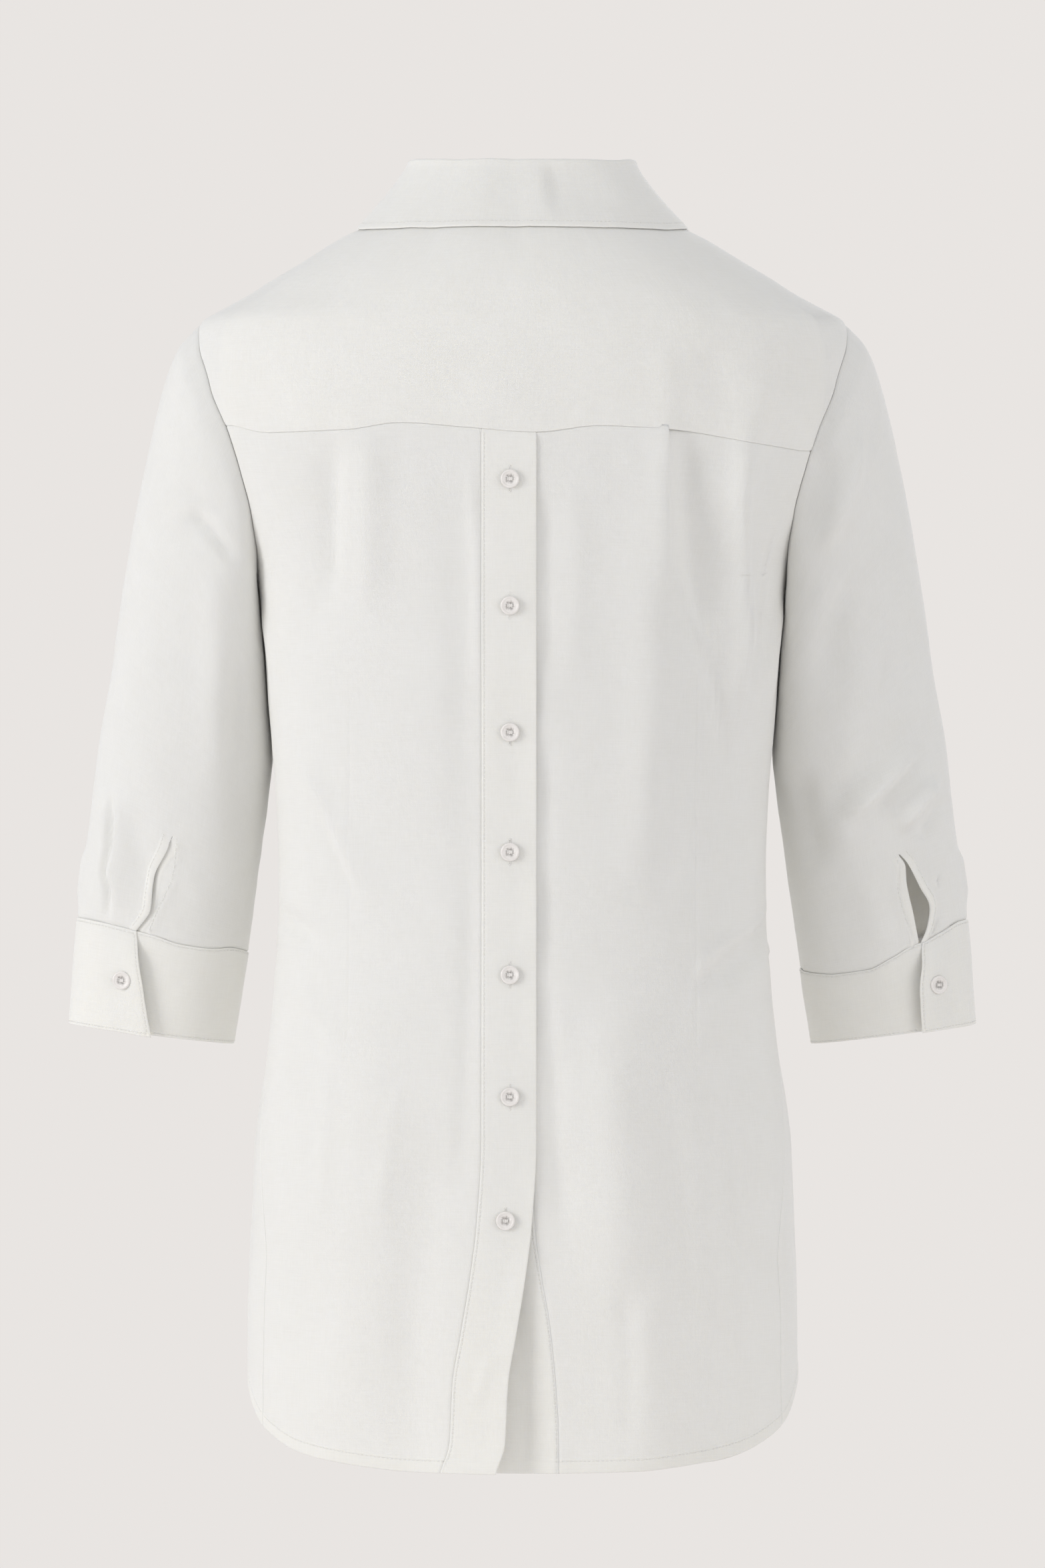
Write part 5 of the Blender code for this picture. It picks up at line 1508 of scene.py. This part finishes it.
def sleeve_axes(share):
    """Middle and half size of a sleeve's section, in x and z."""
    at = {key: line(share) for key, line in SLEEVE_LINES.items()}
    return (
        (at["outer_x"] + at["inner_x"]) / 2,
        (at["outer_z"] + at["inner_z"]) / 2,
        (at["outer_x"] - at["inner_x"]) / 2,
        (at["outer_z"] - at["inner_z"]) / 2,
        at["centre_y"],
        at["half_depth"],
    )


def sleeve_ring(side, share, angle):
    """Points of a sleeve's section; angle goes from the inner side by the back, in radians."""
    middle_x, middle_z, half_x, half_z, centre_y, half_depth = sleeve_axes(share)
    swing = -np.cos(angle)
    across = np.sign(swing) * np.abs(swing) ** SLEEVE_ROUNDNESS
    deep = -np.sign(np.sin(angle)) * np.abs(np.sin(angle)) ** SLEEVE_ROUNDNESS
    x = side * (middle_x + half_x * across)
    y = centre_y + half_depth * deep
    return np.stack([x, y, middle_z + half_z * across], axis=-1)


def sleeve_place(side, x, z):
    """The (angle, share) of a place (x, z) on a sleeve's back."""
    low, high = 0.0, 1.0
    for _ in range(40):
        share = (low + high) / 2
        middle_x, middle_z, half_x, half_z, _, _ = (float(v) for v in sleeve_axes(share))
        across = min(1.0, max(-1.0, (side * x - middle_x) / half_x))
        if middle_z + half_z * across > z:
            low = share
        else:
            high = share
    swing = math.copysign(abs(across) ** (1 / SLEEVE_ROUNDNESS), across)
    return math.acos(-swing), share


def sleeve_surface(side):
    """A sleeve's outer surface with folds and creases, as a function of angle and share."""
    around = [
        crease._replace(
            path=[(math.radians(a) * SLEEVE_RADIUS, s * SLEEVE_LENGTH) for a, s in crease.path],
            height=crease.height * (1.0 if side > 0 else 0.85),
        )
        for crease in SLEEVE_ROUND_CREASES
    ]

    def plain(angle, share):
        return sleeve_ring(side, share, angle)

    def surface(angle, share):
        angle, share = np.broadcast_arrays(angle, share)
        angle = angle % (2 * math.pi)
        point = plain(angle, share)
        x, z = point[..., 0], point[..., 2]
        ends = smoothstep((share - 0.06) / 0.1) * smoothstep((0.86 - share) / 0.08)
        behind = smoothstep(np.sin(angle) / 0.3)
        folds = fold_height(SLEEVE_FOLDS[side], x, z) * ends
        creases = crease_height(SLEEVE_CREASES[side], x, z) * smoothstep((0.875 - share) / 0.01)
        a, b = angle * SLEEVE_RADIUS, share * SLEEVE_LENGTH
        wrapped = crease_height(around, a, b)
        loop_a, loop_b = np.sin(angle) * SLEEVE_RADIUS, b - np.cos(angle) * 0.4 * SLEEVE_RADIUS
        uneven = crumple(loop_a + 0.3, loop_b, SLEEVE_SEED + side) * smoothstep(share / 0.03)
        out = sleeve_normal(side, plain, angle, share)
        height = (folds + creases) * behind + wrapped * smoothstep((0.88 - share) / 0.02) + uneven
        return point + out * height[..., None]

    return surface


def sleeve_normal(side, surface, angle, share):
    step = 0.01
    along = surface(angle, share + step) - surface(angle, share - step)
    across = surface(angle + step, share) - surface(angle - step, share)
    return side * unit(np.cross(along, across))


def sew_sleeve(threads, side, surface, angle, share, height):
    """A line of sewing on a sleeve or cuff, which stands this high on the sleeve's surface."""
    outs = sleeve_normal(side, surface, angle, share)
    threads.sew(surface(angle, share) + outs * height[:, None], outs)


def armhole_ring(side, angle):
    """The armhole's edge at each angle of the sleeve, and the body's outward direction there."""
    turn = np.linspace(0, 2 * math.pi, 721)
    z = ARMHOLE_MIDDLE_Z - ARMHOLE_HALF_HEIGHT * np.cos(turn)
    behind = turn <= math.pi
    u = side * np.where(behind, armhole_u(z, front=False), armhole_u(z, front=True))
    ring, normal = body(u, z), normal_of(plain_body, u, z)
    first = SLEEVE[0]
    middle_z, half_z = (first.outer_z + first.inner_z) / 2, (first.outer_z - first.inner_z) / 2
    across = (ring[:, 2] - middle_z) / half_z
    deep = -(ring[:, 1] - first.centre_y) / first.half_depth
    own = np.unwrap(np.arctan2(deep, -across))
    own[0], own[-1] = 0.0, 2 * math.pi
    own = np.maximum.accumulate(own)
    inside = angle % (2 * math.pi)
    return between(inside, own, ring), unit(between(inside, own, normal))


def seam_shift(side, angle):
    return smooth(CUFF_SEAM[side])(np.degrees(angle) % 360)


def lowered(side, angle, share):
    """The share where a row lies once the rows near the cuff follow its seam."""
    return share + seam_shift(side, angle) * smoothstep((share - SLIT_START) / 0.17)


def lip_curve(side, which):
    """The angle of a slit's lip or line, as a function of its row's share."""
    rows = []
    for x, z in SLIT_LIPS[side][which]:
        angle, place = sleeve_place(side, *seen_sleeve(x, z))
        share = place
        for _ in range(8):
            share = place - (float(lowered(side, angle, share)) - share)
        rows.append((share, angle))
    rows.sort()
    return smooth(rows), rows[0][0]


def seen_sleeve(x, z):
    """The place on a sleeve's back of what the photo shows at (x, z)."""
    return x / SLEEVE_PHOTO_SCALE, CAMERA_Z + (z - CAMERA_Z) / SLEEVE_PHOTO_SCALE


# Where a sleeve meets the body's side it lies flat against it, this far off
SLEEVE_CLEARANCE = 0.0007
SLEEVE_PRESS = 0.0008  # how softly it flattens
PRESSED_FROM_Z = UNDERARM_Z + 0.004


def clear_of_body(side, points, share):
    """A sleeve's points, with those that would enter the body's side moved just clear of it."""
    x, y, z = side * points[..., 0], points[..., 1], points[..., 2]
    depth = np.where(y < 0, body_back(z), body_front(z))
    part = share_of_y(np.abs(y), z, depth)
    u = side * np.where(y < 0, 0.5 * part, 1 - 0.5 * part)
    least = side * body(u, z)[..., 0] + SLEEVE_CLEARANCE
    over = x - least
    pressed = least + (over + np.hypot(over, SLEEVE_PRESS)) / 2
    weight = smoothstep(share / ARMHOLE_ROWS[-1]) * smoothstep((PRESSED_FROM_Z - z) / 0.006)
    moved = points.copy()
    moved[..., 0] = side * (x + (pressed - x) * weight)
    return moved


def sleeve_grid(side, outer_lip, inner_lip, slit_top):
    """A sleeve's columns, its rows and the angle at each crossing.

    Each row runs from the slit's outer lip round to its inner one."""
    around = spaced(SLEEVE_ROUND, SLIT_COLUMNS, SLIT_COLUMNS, SLEEVE_CELL)
    cell, head = SLEEVE_CELL / SLEEVE_LENGTH, ARMHOLE_ROWS[-1]
    upper = np.linspace(head, slit_top, round((slit_top - head) / cell))
    lower = np.linspace(slit_top, CUFF_START, round((CUFF_START - slit_top) / (0.8 * cell)) + 1)
    in_cuff = [CUFF_START + 0.004, CUFF_START + 0.010]
    down = np.concatenate([ARMHOLE_ROWS[:-1], upper, lower[1:], in_cuff])
    slit = math.radians(SLIT_ANGLE[side])
    apex = float(outer_lip(slit_top) + inner_lip(slit_top)) / 2
    joined = slit + (apex - slit) * smoothstep((down - 0.25) / 0.35)
    parted = smoothstep((down - slit_top) / 0.004)
    start, end = (
        np.where(down > slit_top, apex + (lip(down) - apex) * parted, joined)
        for lip in (outer_lip, inner_lip)
    )
    return around, down, start[:, None] + (end + 2 * math.pi - start)[:, None] * around[None, :]


def lip_height(side, share, slit_top, from_outer):
    """How far the cloth rolls out by the slit's outer lip, at a distance from it."""
    run = np.clip((share - slit_top) / (CUFF_START - slit_top), 0, 1)
    crest = np.exp(-(((from_outer - LIP_CREST) / LIP_WIDTH) ** 2))
    return lip_roll(run) * crest * LIP_SHARE[side]


def strip_height(row, past_line, line_top):
    """The cloth rises to the line sewn beside the slit, and drops to the binding's strip there."""
    rising = STRIP_EDGE * np.exp(-((np.minimum(past_line, 0) / STRIP_REACH) ** 2))
    return rising * (1 - smoothstep(past_line / STRIP_DROP)) * smoothstep((row - line_top) / SLIT_FADE)


def make_sleeve(side, name):
    surface = sleeve_surface(side)
    outer_lip, slit_top = lip_curve(side, "outer")
    inner_lip, _ = lip_curve(side, "inner")
    line, line_top = lip_curve(side, "line")
    around, down, angle = sleeve_grid(side, outer_lip, inner_lip, slit_top)
    row = down[:, None]
    share = lowered(side, angle, row)

    # from the armhole's own form to the sleeve's, clear of the body
    outer = surface(angle, share)
    ring, body_out = armhole_ring(side, angle[0])
    first = surface(angle[0], np.zeros(1))
    outer = outer + (ring - first)[None] * (1 - smoothstep(share / SLEEVE_HEAD))[..., None]
    outer = clear_of_body(side, outer, np.broadcast_to(share, outer.shape[:2]))
    out = sleeve_normal(side, surface, angle, share)
    tucked = (1 - smoothstep(share / TUCKED_UNTIL))[..., None]
    into = seam_direction(ring, body_out)
    outer = outer + tucked * (into * TUCK_IN - body_out * TUCK_DOWN)[None]

    # the slit, its binding and the edge that goes into the cuff
    from_outer, from_inner = around * SLEEVE_ROUND, (1 - around) * SLEEVE_ROUND
    opened = smoothstep((row - slit_top) / SLIT_FADE)
    bound = 1 - smoothstep((np.minimum(from_inner, from_outer) - BINDING_WIDTH) / BINDING_BLEND)
    roll = lip_height(side, row, slit_top, from_outer)
    roll = roll - LIP_UNDER[side] * (1 - smoothstep(from_inner / LIP_UNDER_REACH))
    past_line = (angle - 2 * math.pi - line(row)) * SLEEVE_RADIUS
    strip = strip_height(row, past_line, line_top)
    in_cuff = -CUFF_TUCK * smoothstep((row - CUFF_START + 0.003) / 0.004)
    height = opened * (BINDING_RISE * bound + roll) + strip + in_cuff
    outer = outer + out * height[..., None]

    uv = np.stack([angle * SLEEVE_RADIUS, np.broadcast_to(share * SLEEVE_LENGTH, angle.shape)], -1)
    thickness = CLOTH + BINDING_THICKER * (opened * bound)
    thing = shell(name + "_cloth", outer, out, thickness, uv, down <= slit_top + 1e-6)

    threads = Threads()
    at = np.linspace(line_top, CUFF_START - 0.006, 60)
    sew_sleeve(threads, side, surface, line(at), lowered(side, line(at), at),
               np.full_like(at, STRIP_EDGE))
    at = at[at > slit_top]
    lip_angle = outer_lip(at) + LIP_STITCH / SLEEVE_RADIUS
    sew_sleeve(threads, side, surface, lip_angle, lowered(side, lip_angle, at),
               lip_height(side, at, slit_top, LIP_STITCH) + LIP_SEW_OUT)
    place_cloth(thing, name, threads.make(name + "_stitching"))


def seam_direction(ring, normal):
    """The direction in the body's surface that points into the armhole."""
    closed = ring[:-1]
    along = np.roll(closed, -1, axis=0) - np.roll(closed, 1, axis=0)
    along = np.concatenate([along, along[:1]])
    direction = unit(np.cross(normal, along))
    to_middle = closed.mean(axis=0) - ring
    return direction * np.sign(np.sum(direction * to_middle, axis=1, keepdims=True))


def make_cuff(side, name):
    """A cuff's strip goes round from its free edge and ends under itself."""
    surface = sleeve_surface(side)
    edge_curve = smooth([(share, math.radians(degrees)) for share, degrees in CUFF_EDGE[side]])
    lap = math.radians(CUFF_LAP_DEG)
    round_shares, down_shares = (
        spaced(length, CUFF_EDGE_ROWS, CUFF_EDGE_ROWS, CUFF_CELL) for length in (CUFF_ROUND, CUFF_HEIGHT)
    )
    row = (CUFF_START + (1 - CUFF_START) * down_shares)[:, None]
    angle = edge_curve(row) + (2 * math.pi + lap) * round_shares[None, :]

    def share_of(angle, row):
        return row + seam_shift(side, angle) * (1 - row) / (1 - CUFF_START)

    row = np.broadcast_to(row, angle.shape)
    out = sleeve_normal(side, surface, angle, share_of(angle, row))

    def rise_of(angle, row):
        past = angle - edge_curve(row)
        down = (row - CUFF_START) / (1 - CUFF_START)
        over = 1 - smoothstep((past - lap - 0.12) / 0.5)
        over = over * (CUFF_TOP_SHARE + (1 - CUFF_TOP_SHARE) * smoothstep(down / 0.3))
        flare = np.exp(-((past / CUFF_FLARE_REACH[side]) ** 2)) * smoothstep((down - 0.03) / 0.30)
        under = smoothstep((past - 2 * math.pi + 0.25) / 0.2)
        return CUFF_RISE + over * CUFF_OVER + flare * CUFF_FLARE[side] - under * CUFF_UNDER

    rise = rise_of(angle, row)
    from_edge = round_shares[None, :] * CUFF_ROUND
    from_top, from_bottom = (row - CUFF_START) * SLEEVE_LENGTH, (1 - row) * SLEEVE_LENGTH
    for distance in (from_edge, from_top, from_bottom):
        rise = rise + pulled_in(distance, CUFF_SEWN_DEPTH)
    outer = surface(angle, share_of(angle, row)) + out * rise[..., None]
    uv = np.stack([angle * SLEEVE_RADIUS, row * SLEEVE_LENGTH], axis=-1)
    thing = shell(name + "_cloth", outer, out, CUFF_THICKNESS, uv)

    threads = Threads()

    def sew(angle, row):
        height = rise_of(angle, row) + SEW_OUT / 2
        sew_sleeve(threads, side, surface, angle, share_of(angle, row), height)

    turn = np.linspace(0.03, 2 * math.pi - 0.02, 300)
    for at in (CUFF_START + EDGE_STITCH / SLEEVE_LENGTH, 1 - EDGE_STITCH / SLEEVE_LENGTH):
        sew(edge_curve(at) + turn, np.full_like(turn, at))
    at = np.linspace(CUFF_START + 0.004, 0.995, 60)
    sew(edge_curve(at) + EDGE_STITCH / SLEEVE_RADIUS, at)

    place = np.array([float(edge_curve(CUFF_MIDDLE)) + lap * 0.5])
    at = np.array([CUFF_MIDDLE])
    share = share_of(place, at)
    outs = sleeve_normal(side, surface, place, share)
    base = (surface(place, share) + outs * rise_of(place, at)[:, None])[0]
    make_buttonhole(threads, base, outs[0], upright=False)
    place_cloth(thing, name, threads.make(name + "_stitching"))
    make_button(name + "_button", base, outs[0])


# Collar


def stand_rows(u, rise):
    """The stand's lower and upper edges."""
    low = body(u, neck_z(u))
    around = unit(low * np.array([1.0, 1.0, 0.0]))
    high = low * np.array([STAND_LEAN, STAND_LEAN, 1.0])
    front = smoothstep((np.abs((u + 1) % 2 - 1) - 0.5) / 0.5)
    high[:, 2] += STAND_HEIGHT * (1 - 0.1 * front)
    high[:, 2] -= COLLAR_CORNER * np.exp(-(((np.abs(u) - 0.5) / 0.10) ** 2))
    low[:, 2] += COLLAR_LIFT
    out = around * rise[:, None]
    return low + out, high + out, around


def make_stand():
    u = np.linspace(-1 - STAND_LAP_U, 1 + STAND_LAP_U, 181)
    rise = STAND_LAP_RISE * smoothstep((u - 0.86) / 0.07)
    low, high, around = stand_rows(u, rise)
    levels = spaced(STAND_HEIGHT, STAND_ROWS, STAND_ROWS, 0.002)
    share = levels[:, None, None]
    outer = low + (high - low) * share + around * STAND_BULGE * np.sin(math.pi * share)
    uv = np.stack(np.broadcast_arrays(u * STAND_HALF, share[..., 0] * STAND_HEIGHT), axis=-1)
    stand = shell("collar_stand_cloth", outer, np.broadcast_to(around, outer.shape), DOUBLE, uv)
    place_cloth(stand, "collar_stand")
    middle, last = len(levels) // 2, int(np.argmin(np.abs(u - 1.0)))
    make_button("collar_button", outer[middle, last] + around[last] * 0.0004, around[last])


# The fall's turn over the stand: how far out and up its centre is from the stand's top
TURN_OUT, TURN_UP, TURN_RADIUS = 0.0013, 0.0008, 0.0022


def fall_rows(along):
    """Points of the fall from inside the stand's top, over its fold and down to its edge."""
    _, top, around = stand_rows(along, np.zeros_like(along))
    edge_u = np.sign(along) * smooth([(e.along, e.u) for e in FALL_EDGE])(np.abs(along))
    edge_z = smooth([(e.along, e.z) for e in FALL_EDGE])(np.abs(along))
    edge = body(edge_u, edge_z, np.full_like(edge_z, FALL_RISE))
    up = np.array([0.0, 0.0, 1.0])
    centre = top + around * TURN_OUT + up * TURN_UP
    rows = []
    for degrees in np.linspace(195, -5, 11):
        turn = math.radians(degrees)
        rows.append(centre + (around * math.cos(turn) + up * math.sin(turn)) * TURN_RADIUS)
    roll = rows[-1]
    soft = fall_softness(along)
    for share in spaced(FALL_HEIGHT, (0, 0.003), FALL_ROWS, 0.0024)[1:]:
        bulge = -FALL_BULGE * math.sin(math.pi * share**0.8)
        shape = roll + (edge - roll) * share + (around * 0.8 + up * 0.6) * bulge
        crease = soft * math.sin(math.pi * min(1.0, share * 1.15) ** 0.8)
        rows.append(shape + around * crease[:, None])
    return np.array(rows), around


COLLAR_STEP, COLLAR_DENT = 0.050, 0.0035  # where and how far the fall breaks inwards, on the right
FALL_WAVES = [
    (0.034, 0.024, 0.0006),
    (0.190, 0.050, -0.0012),
    (-0.120, 0.050, 0.0006),
    (-0.350, 0.050, -0.0012),
    (0.420, 0.050, -0.0014),
    (-0.620, 0.060, 0.0014),
    (0.640, 0.060, 0.0014),
]


def fall_softness(along):
    """Soft vertical dents of the fall, by place round the collar."""
    step = smoothstep((along - COLLAR_STEP + 0.006) / 0.040) * (1 - smoothstep((along - 0.10) / 0.14))
    total = -COLLAR_DENT * step
    for place, width, height in FALL_WAVES:
        total += height * np.exp(-(((along - place) / width) ** 2))
    return total


def make_fall():
    ends = spaced(0.225, (0, 0.003), (0, 0.0006, 0.0016, 0.0032, 0.005), 0.0026)
    along = np.concatenate([-ends[::-1][:-1], ends]) * FALL_END_U
    outer, around = fall_rows(along)
    down = np.linspace(0, 0.062, len(outer))[:, None]
    uv = np.stack(np.broadcast_arrays(along * FALL_HALF, -down), axis=-1)
    outward = around[None] * np.linspace(0.2, 1.0, len(outer))[:, None, None]
    outward = outward + np.array([0.0, 0.0, 0.6])
    fall = shell("collar_fall_cloth", outer, outward, DOUBLE, uv)
    threads = Threads()
    rows, columns = outer.shape[:2]
    normal = grid_normal(outer)
    if np.sum(normal * outward) < 0:
        normal = -normal
    line = rows - 5
    inside = slice(4, columns - 4)
    threads.sew(outer[line, inside] + normal[line, inside] * 0.00008, normal[line, inside])
    for col in (3, columns - 4):
        part = slice(14, rows - 5)
        threads.sew(outer[part, col] + normal[part, col] * 0.00008, normal[part, col])
    place_cloth(fall, "collar_fall", threads.make("collar_stitching"))


# Buttons

# The turned form of a button: radius and height, from its back over the rim to its well
BUTTON_PROFILE = [
    (0.0050, 0.0000),
    (0.0055, 0.0003),
    (0.0057, 0.0009),
    (0.0057, 0.0013),
    (0.0056, 0.0017),
    (0.0053, 0.0020),
    (0.0049, 0.0021),
    (0.0045, 0.0020),
    (0.0042, 0.00175),
    (0.0038, 0.00168),
]
BUTTON_GAP = 0.0003  # between a button's band and its seat
BUTTON_SEAT = 0.0004  # between its seat and its back
HOLE_RADIUS = 0.00032
HOLE_PLACE = 0.00125
BUTTON_THREAD, BUTTON_THREAD_APART = 0.00022, 0.00032
SHANK_RADIUS = 0.0010  # of the thread under a button
BUTTON_SIDES = 36
HOLE_SIDES = 12


def button_form():
    """A four-hole button's points and faces about the origin, its back on z = 0."""
    turn = 2 * np.pi * np.arange(BUTTON_SIDES) / BUTTON_SIDES
    circle = np.stack([np.cos(turn), np.sin(turn)], axis=-1)
    hole_turn = 2 * np.pi * np.arange(HOLE_SIDES) / HOLE_SIDES
    hole = np.stack([np.cos(hole_turn), np.sin(hole_turn)], axis=-1) * HOLE_RADIUS
    centres = [(sx * HOLE_PLACE, sy * HOLE_PLACE) for sx in (-1, 1) for sy in (-1, 1)]

    points = [(*(circle[k] * radius), height) for radius, height in BUTTON_PROFILE
              for k in range(BUTTON_SIDES)]
    faces = []
    for ring in range(len(BUTTON_PROFILE) - 1):
        for k in range(BUTTON_SIDES):
            low, high = ring * BUTTON_SIDES, (ring + 1) * BUTTON_SIDES
            after = (k + 1) % BUTTON_SIDES
            faces.append((low + k, low + after, high + after, high + k))

    def plate(radius, height, rim_start, upwards):
        """A flat face with four holes; its rim uses the profile's own points."""
        flat = [tuple(p) for p in circle * radius]
        for centre in centres:
            flat += [(centre[0] + p[0], centre[1] + p[1]) for p in hole]
        flat += [(0.0, 0.0)]
        edges = [(k, (k + 1) % BUTTON_SIDES) for k in range(BUTTON_SIDES)]
        for number in range(4):
            base = BUTTON_SIDES + number * HOLE_SIDES
            edges += [(base + k, base + (k + 1) % HOLE_SIDES) for k in range(HOLE_SIDES)]
        made = delaunay_2d_cdt([Vector(p) for p in flat], edges, [], 1, 1e-7)
        at = len(points)
        place_of = {}
        for new, origin in enumerate(made[3]):
            old = origin[0]
            if old < BUTTON_SIDES:
                place_of[new] = rim_start + old
            else:
                place_of[new] = at + old - BUTTON_SIDES
        points.extend((x, y, height) for x, y in flat[BUTTON_SIDES:])
        for face in made[2]:
            middle = sum((made[0][i] for i in face), Vector((0, 0))) / len(face)
            if any(math.hypot(middle.x - cx, middle.y - cy) < HOLE_RADIUS * 0.9 for cx, cy in centres):
                continue
            a, b, c = (made[0][i] for i in face[:3])
            anticlockwise = (b - a).cross(c - a) > 0
            corners = tuple(place_of[i] for i in face)
            faces.append(corners if anticlockwise == upwards else corners[::-1])
        return at

    last = (len(BUTTON_PROFILE) - 1) * BUTTON_SIDES
    front = plate(BUTTON_PROFILE[-1][0], BUTTON_PROFILE[-1][1] - 0.0001, last, True)
    back = plate(BUTTON_PROFILE[0][0], 0.0, 0, False)
    for number in range(4):
        for k in range(HOLE_SIDES):
            after = (k + 1) % HOLE_SIDES
            a, b = number * HOLE_SIDES + k, number * HOLE_SIDES + after
            faces.append((front + a, front + b, back + b, back + a))
    return np.array(points), faces


def make_button(name, base, direction):
    """A button with its sewing thread, its back on base."""
    direction = unit(np.asarray(direction, float))
    up = unit(np.array([0.0, 0.0, 1.0]) - direction * direction[2])
    across = np.cross(up, direction)
    frame_of = np.stack([across, up, direction])
    points = BUTTON_POINTS @ frame_of + base + direction * BUTTON_SEAT
    mesh = bpy.data.meshes.new(name + "_form")
    mesh.from_pydata(points.tolist(), [], BUTTON_FACES)
    mesh.shade_smooth()
    mesh.set_sharp_from_angle(angle=math.radians(38))
    mesh.materials.append(BUTTON)
    settle(link(name + "_form", mesh), "buttons", name)
    threads = Threads()
    top = base + direction * (BUTTON_SEAT + BUTTON_PROFILE[-1][1])
    for side in (-1, 1):
        for shift in (-BUTTON_THREAD_APART / 2, BUTTON_THREAD_APART / 2):
            middle = top + across * (side * HOLE_PLACE + shift)
            start, end = middle - up * HOLE_PLACE, middle + up * HOLE_PLACE
            lift = direction * SEW_OUT
            threads.add(start + lift, end + lift, direction, BUTTON_THREAD)
        for end in (-1, 1):
            hole = base + (across * side + up * end) * HOLE_PLACE
            for out in (across, across + up):
                tip = hole + direction * (BUTTON_PROFILE[-1][1] + 0.0005)
                threads.add(hole, tip, unit(out), 1.15 * HOLE_RADIUS)
    threads.add(base - direction * BUTTON_GAP, base + direction * 0.0012, across, SHANK_RADIUS)
    threads.make(name + "_thread")


def make_buttons():
    for count, z in enumerate(BACK_BUTTON_Z, start=1):
        x = BACK_BUTTON_X + float(placket_swing(z))
        rise = BAND_RISE + float(lift_placket(x, z))
        make_button(f"back_button_{count}", *body_point(float(back_u(x, z)), z, rise + BUTTON_GAP))
    for count in range(FRONT_BUTTONS):
        z = FRONT_BUTTON_TOP_Z - FRONT_BUTTON_STEP * count
        make_button(f"front_button_{count + 1}", *body_point(1.0, z, BAND_RISE + BUTTON_GAP))


# Light and camera


def make_camera():
    data = bpy.data.cameras.new("camera")
    data.sensor_fit = "VERTICAL"
    data.sensor_height = 36.0
    data.lens = data.sensor_height * CAMERA_DISTANCE / VIEW_HEIGHT
    camera = link("camera", data)
    camera.location = (0.0, -CAMERA_DISTANCE, CAMERA_Z)
    camera.rotation_euler = (math.pi / 2, 0.0, 0.0)
    bpy.context.scene.camera = camera


# Name, place, size, power and colour
LIGHTS = [
    ("key", (-3.2, -1.9, 0.25), (1.4, 2.0), 51.0, (1.0, 0.995, 0.985)),
    ("fill", (2.7, -2.6, -0.1), (2.2, 2.2), 24.0, (1.0, 0.985, 0.965)),
    ("front_fill", (0.6, 3.6, 0.8), (2.4, 2.0), 40.0, (1.0, 0.995, 0.99)),
]
LIT = Vector((0.0, 0.0, -0.35))  # the lights face this place
FLOOR_Z, FLOOR_RADIUS, FLOOR_SIDES = -1.27, 4.3, 96


def make_light(name, place, size, power, colour):
    data = bpy.data.lights.new(name, "AREA")
    data.shape = "RECTANGLE"
    data.size, data.size_y = size
    data.energy = power
    data.color = colour
    light = link(name, data)
    light.location = place
    light.rotation_euler = (LIT - Vector(place)).to_track_quat("-Z", "Y").to_euler()


def make_studio():
    scene = bpy.context.scene
    scene.view_settings.view_transform = "Standard"
    world = bpy.data.worlds.new("studio")
    scene.world = world
    world.use_nodes = True
    tree = world.node_tree
    sky = tree.nodes["Background"]
    sky.inputs["Color"].default_value = (0.812, 0.783, 0.761, 1.0)
    sky.inputs["Strength"].default_value = 1.0
    soft = tree.nodes.new("ShaderNodeBackground")
    soft.inputs["Color"].default_value = (0.99, 0.99, 1.0, 1.0)
    soft.inputs["Strength"].default_value = 0.64
    path = tree.nodes.new("ShaderNodeLightPath")
    mix = tree.nodes.new("ShaderNodeMixShader")
    tree.links.new(path.outputs["Is Camera Ray"], mix.inputs[0])
    tree.links.new(soft.outputs[0], mix.inputs[1])
    tree.links.new(sky.outputs[0], mix.inputs[2])
    tree.links.new(mix.outputs[0], tree.nodes["World Output"].inputs["Surface"])
    for light in LIGHTS:
        make_light(*light)


def make_floor():
    """A pale floor below the blouse."""
    turn = 2 * np.pi * np.arange(FLOOR_SIDES) / FLOOR_SIDES
    ring = [(FLOOR_RADIUS * math.cos(a), FLOOR_RADIUS * math.sin(a), FLOOR_Z) for a in turn]
    mesh = bpy.data.meshes.new("floor")
    mesh.from_pydata(ring, [], [tuple(range(FLOOR_SIDES))])
    m = Nodes("floor_pale")
    tone = m.noise(m.node("TexCoord").outputs["Object"], 0.9, 1.0, 0.4)
    m.set(
        Base_Color=m.ramp(tone, (0.80, 0.775, 0.755), (0.83, 0.800, 0.778)),
        Roughness=0.9, Specular_IOR_Level=0.1,
    )
    mesh.materials.append(m.material)
    link("floor", mesh)


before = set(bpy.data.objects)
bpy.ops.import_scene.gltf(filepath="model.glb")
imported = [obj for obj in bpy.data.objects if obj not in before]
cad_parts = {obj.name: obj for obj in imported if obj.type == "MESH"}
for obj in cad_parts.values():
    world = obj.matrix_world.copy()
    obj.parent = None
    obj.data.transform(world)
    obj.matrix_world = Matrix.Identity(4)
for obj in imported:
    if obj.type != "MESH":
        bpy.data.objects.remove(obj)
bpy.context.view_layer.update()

LINEN, THREAD, BUTTON = make_linen(), make_thread(), make_shell_button()
BUTTON_POINTS, BUTTON_FACES = button_form()

make_camera()
make_studio()
make_floor()
make_back()
make_back_bands()
make_front()
make_front_bands()
make_yoke()
for SIDE, END in ((-1, "left"), (1, "right")):
    make_sleeve(SIDE, "sleeve_" + END)
    make_cuff(SIDE, "cuff_" + END)
make_stand()
make_fall()
make_buttons()
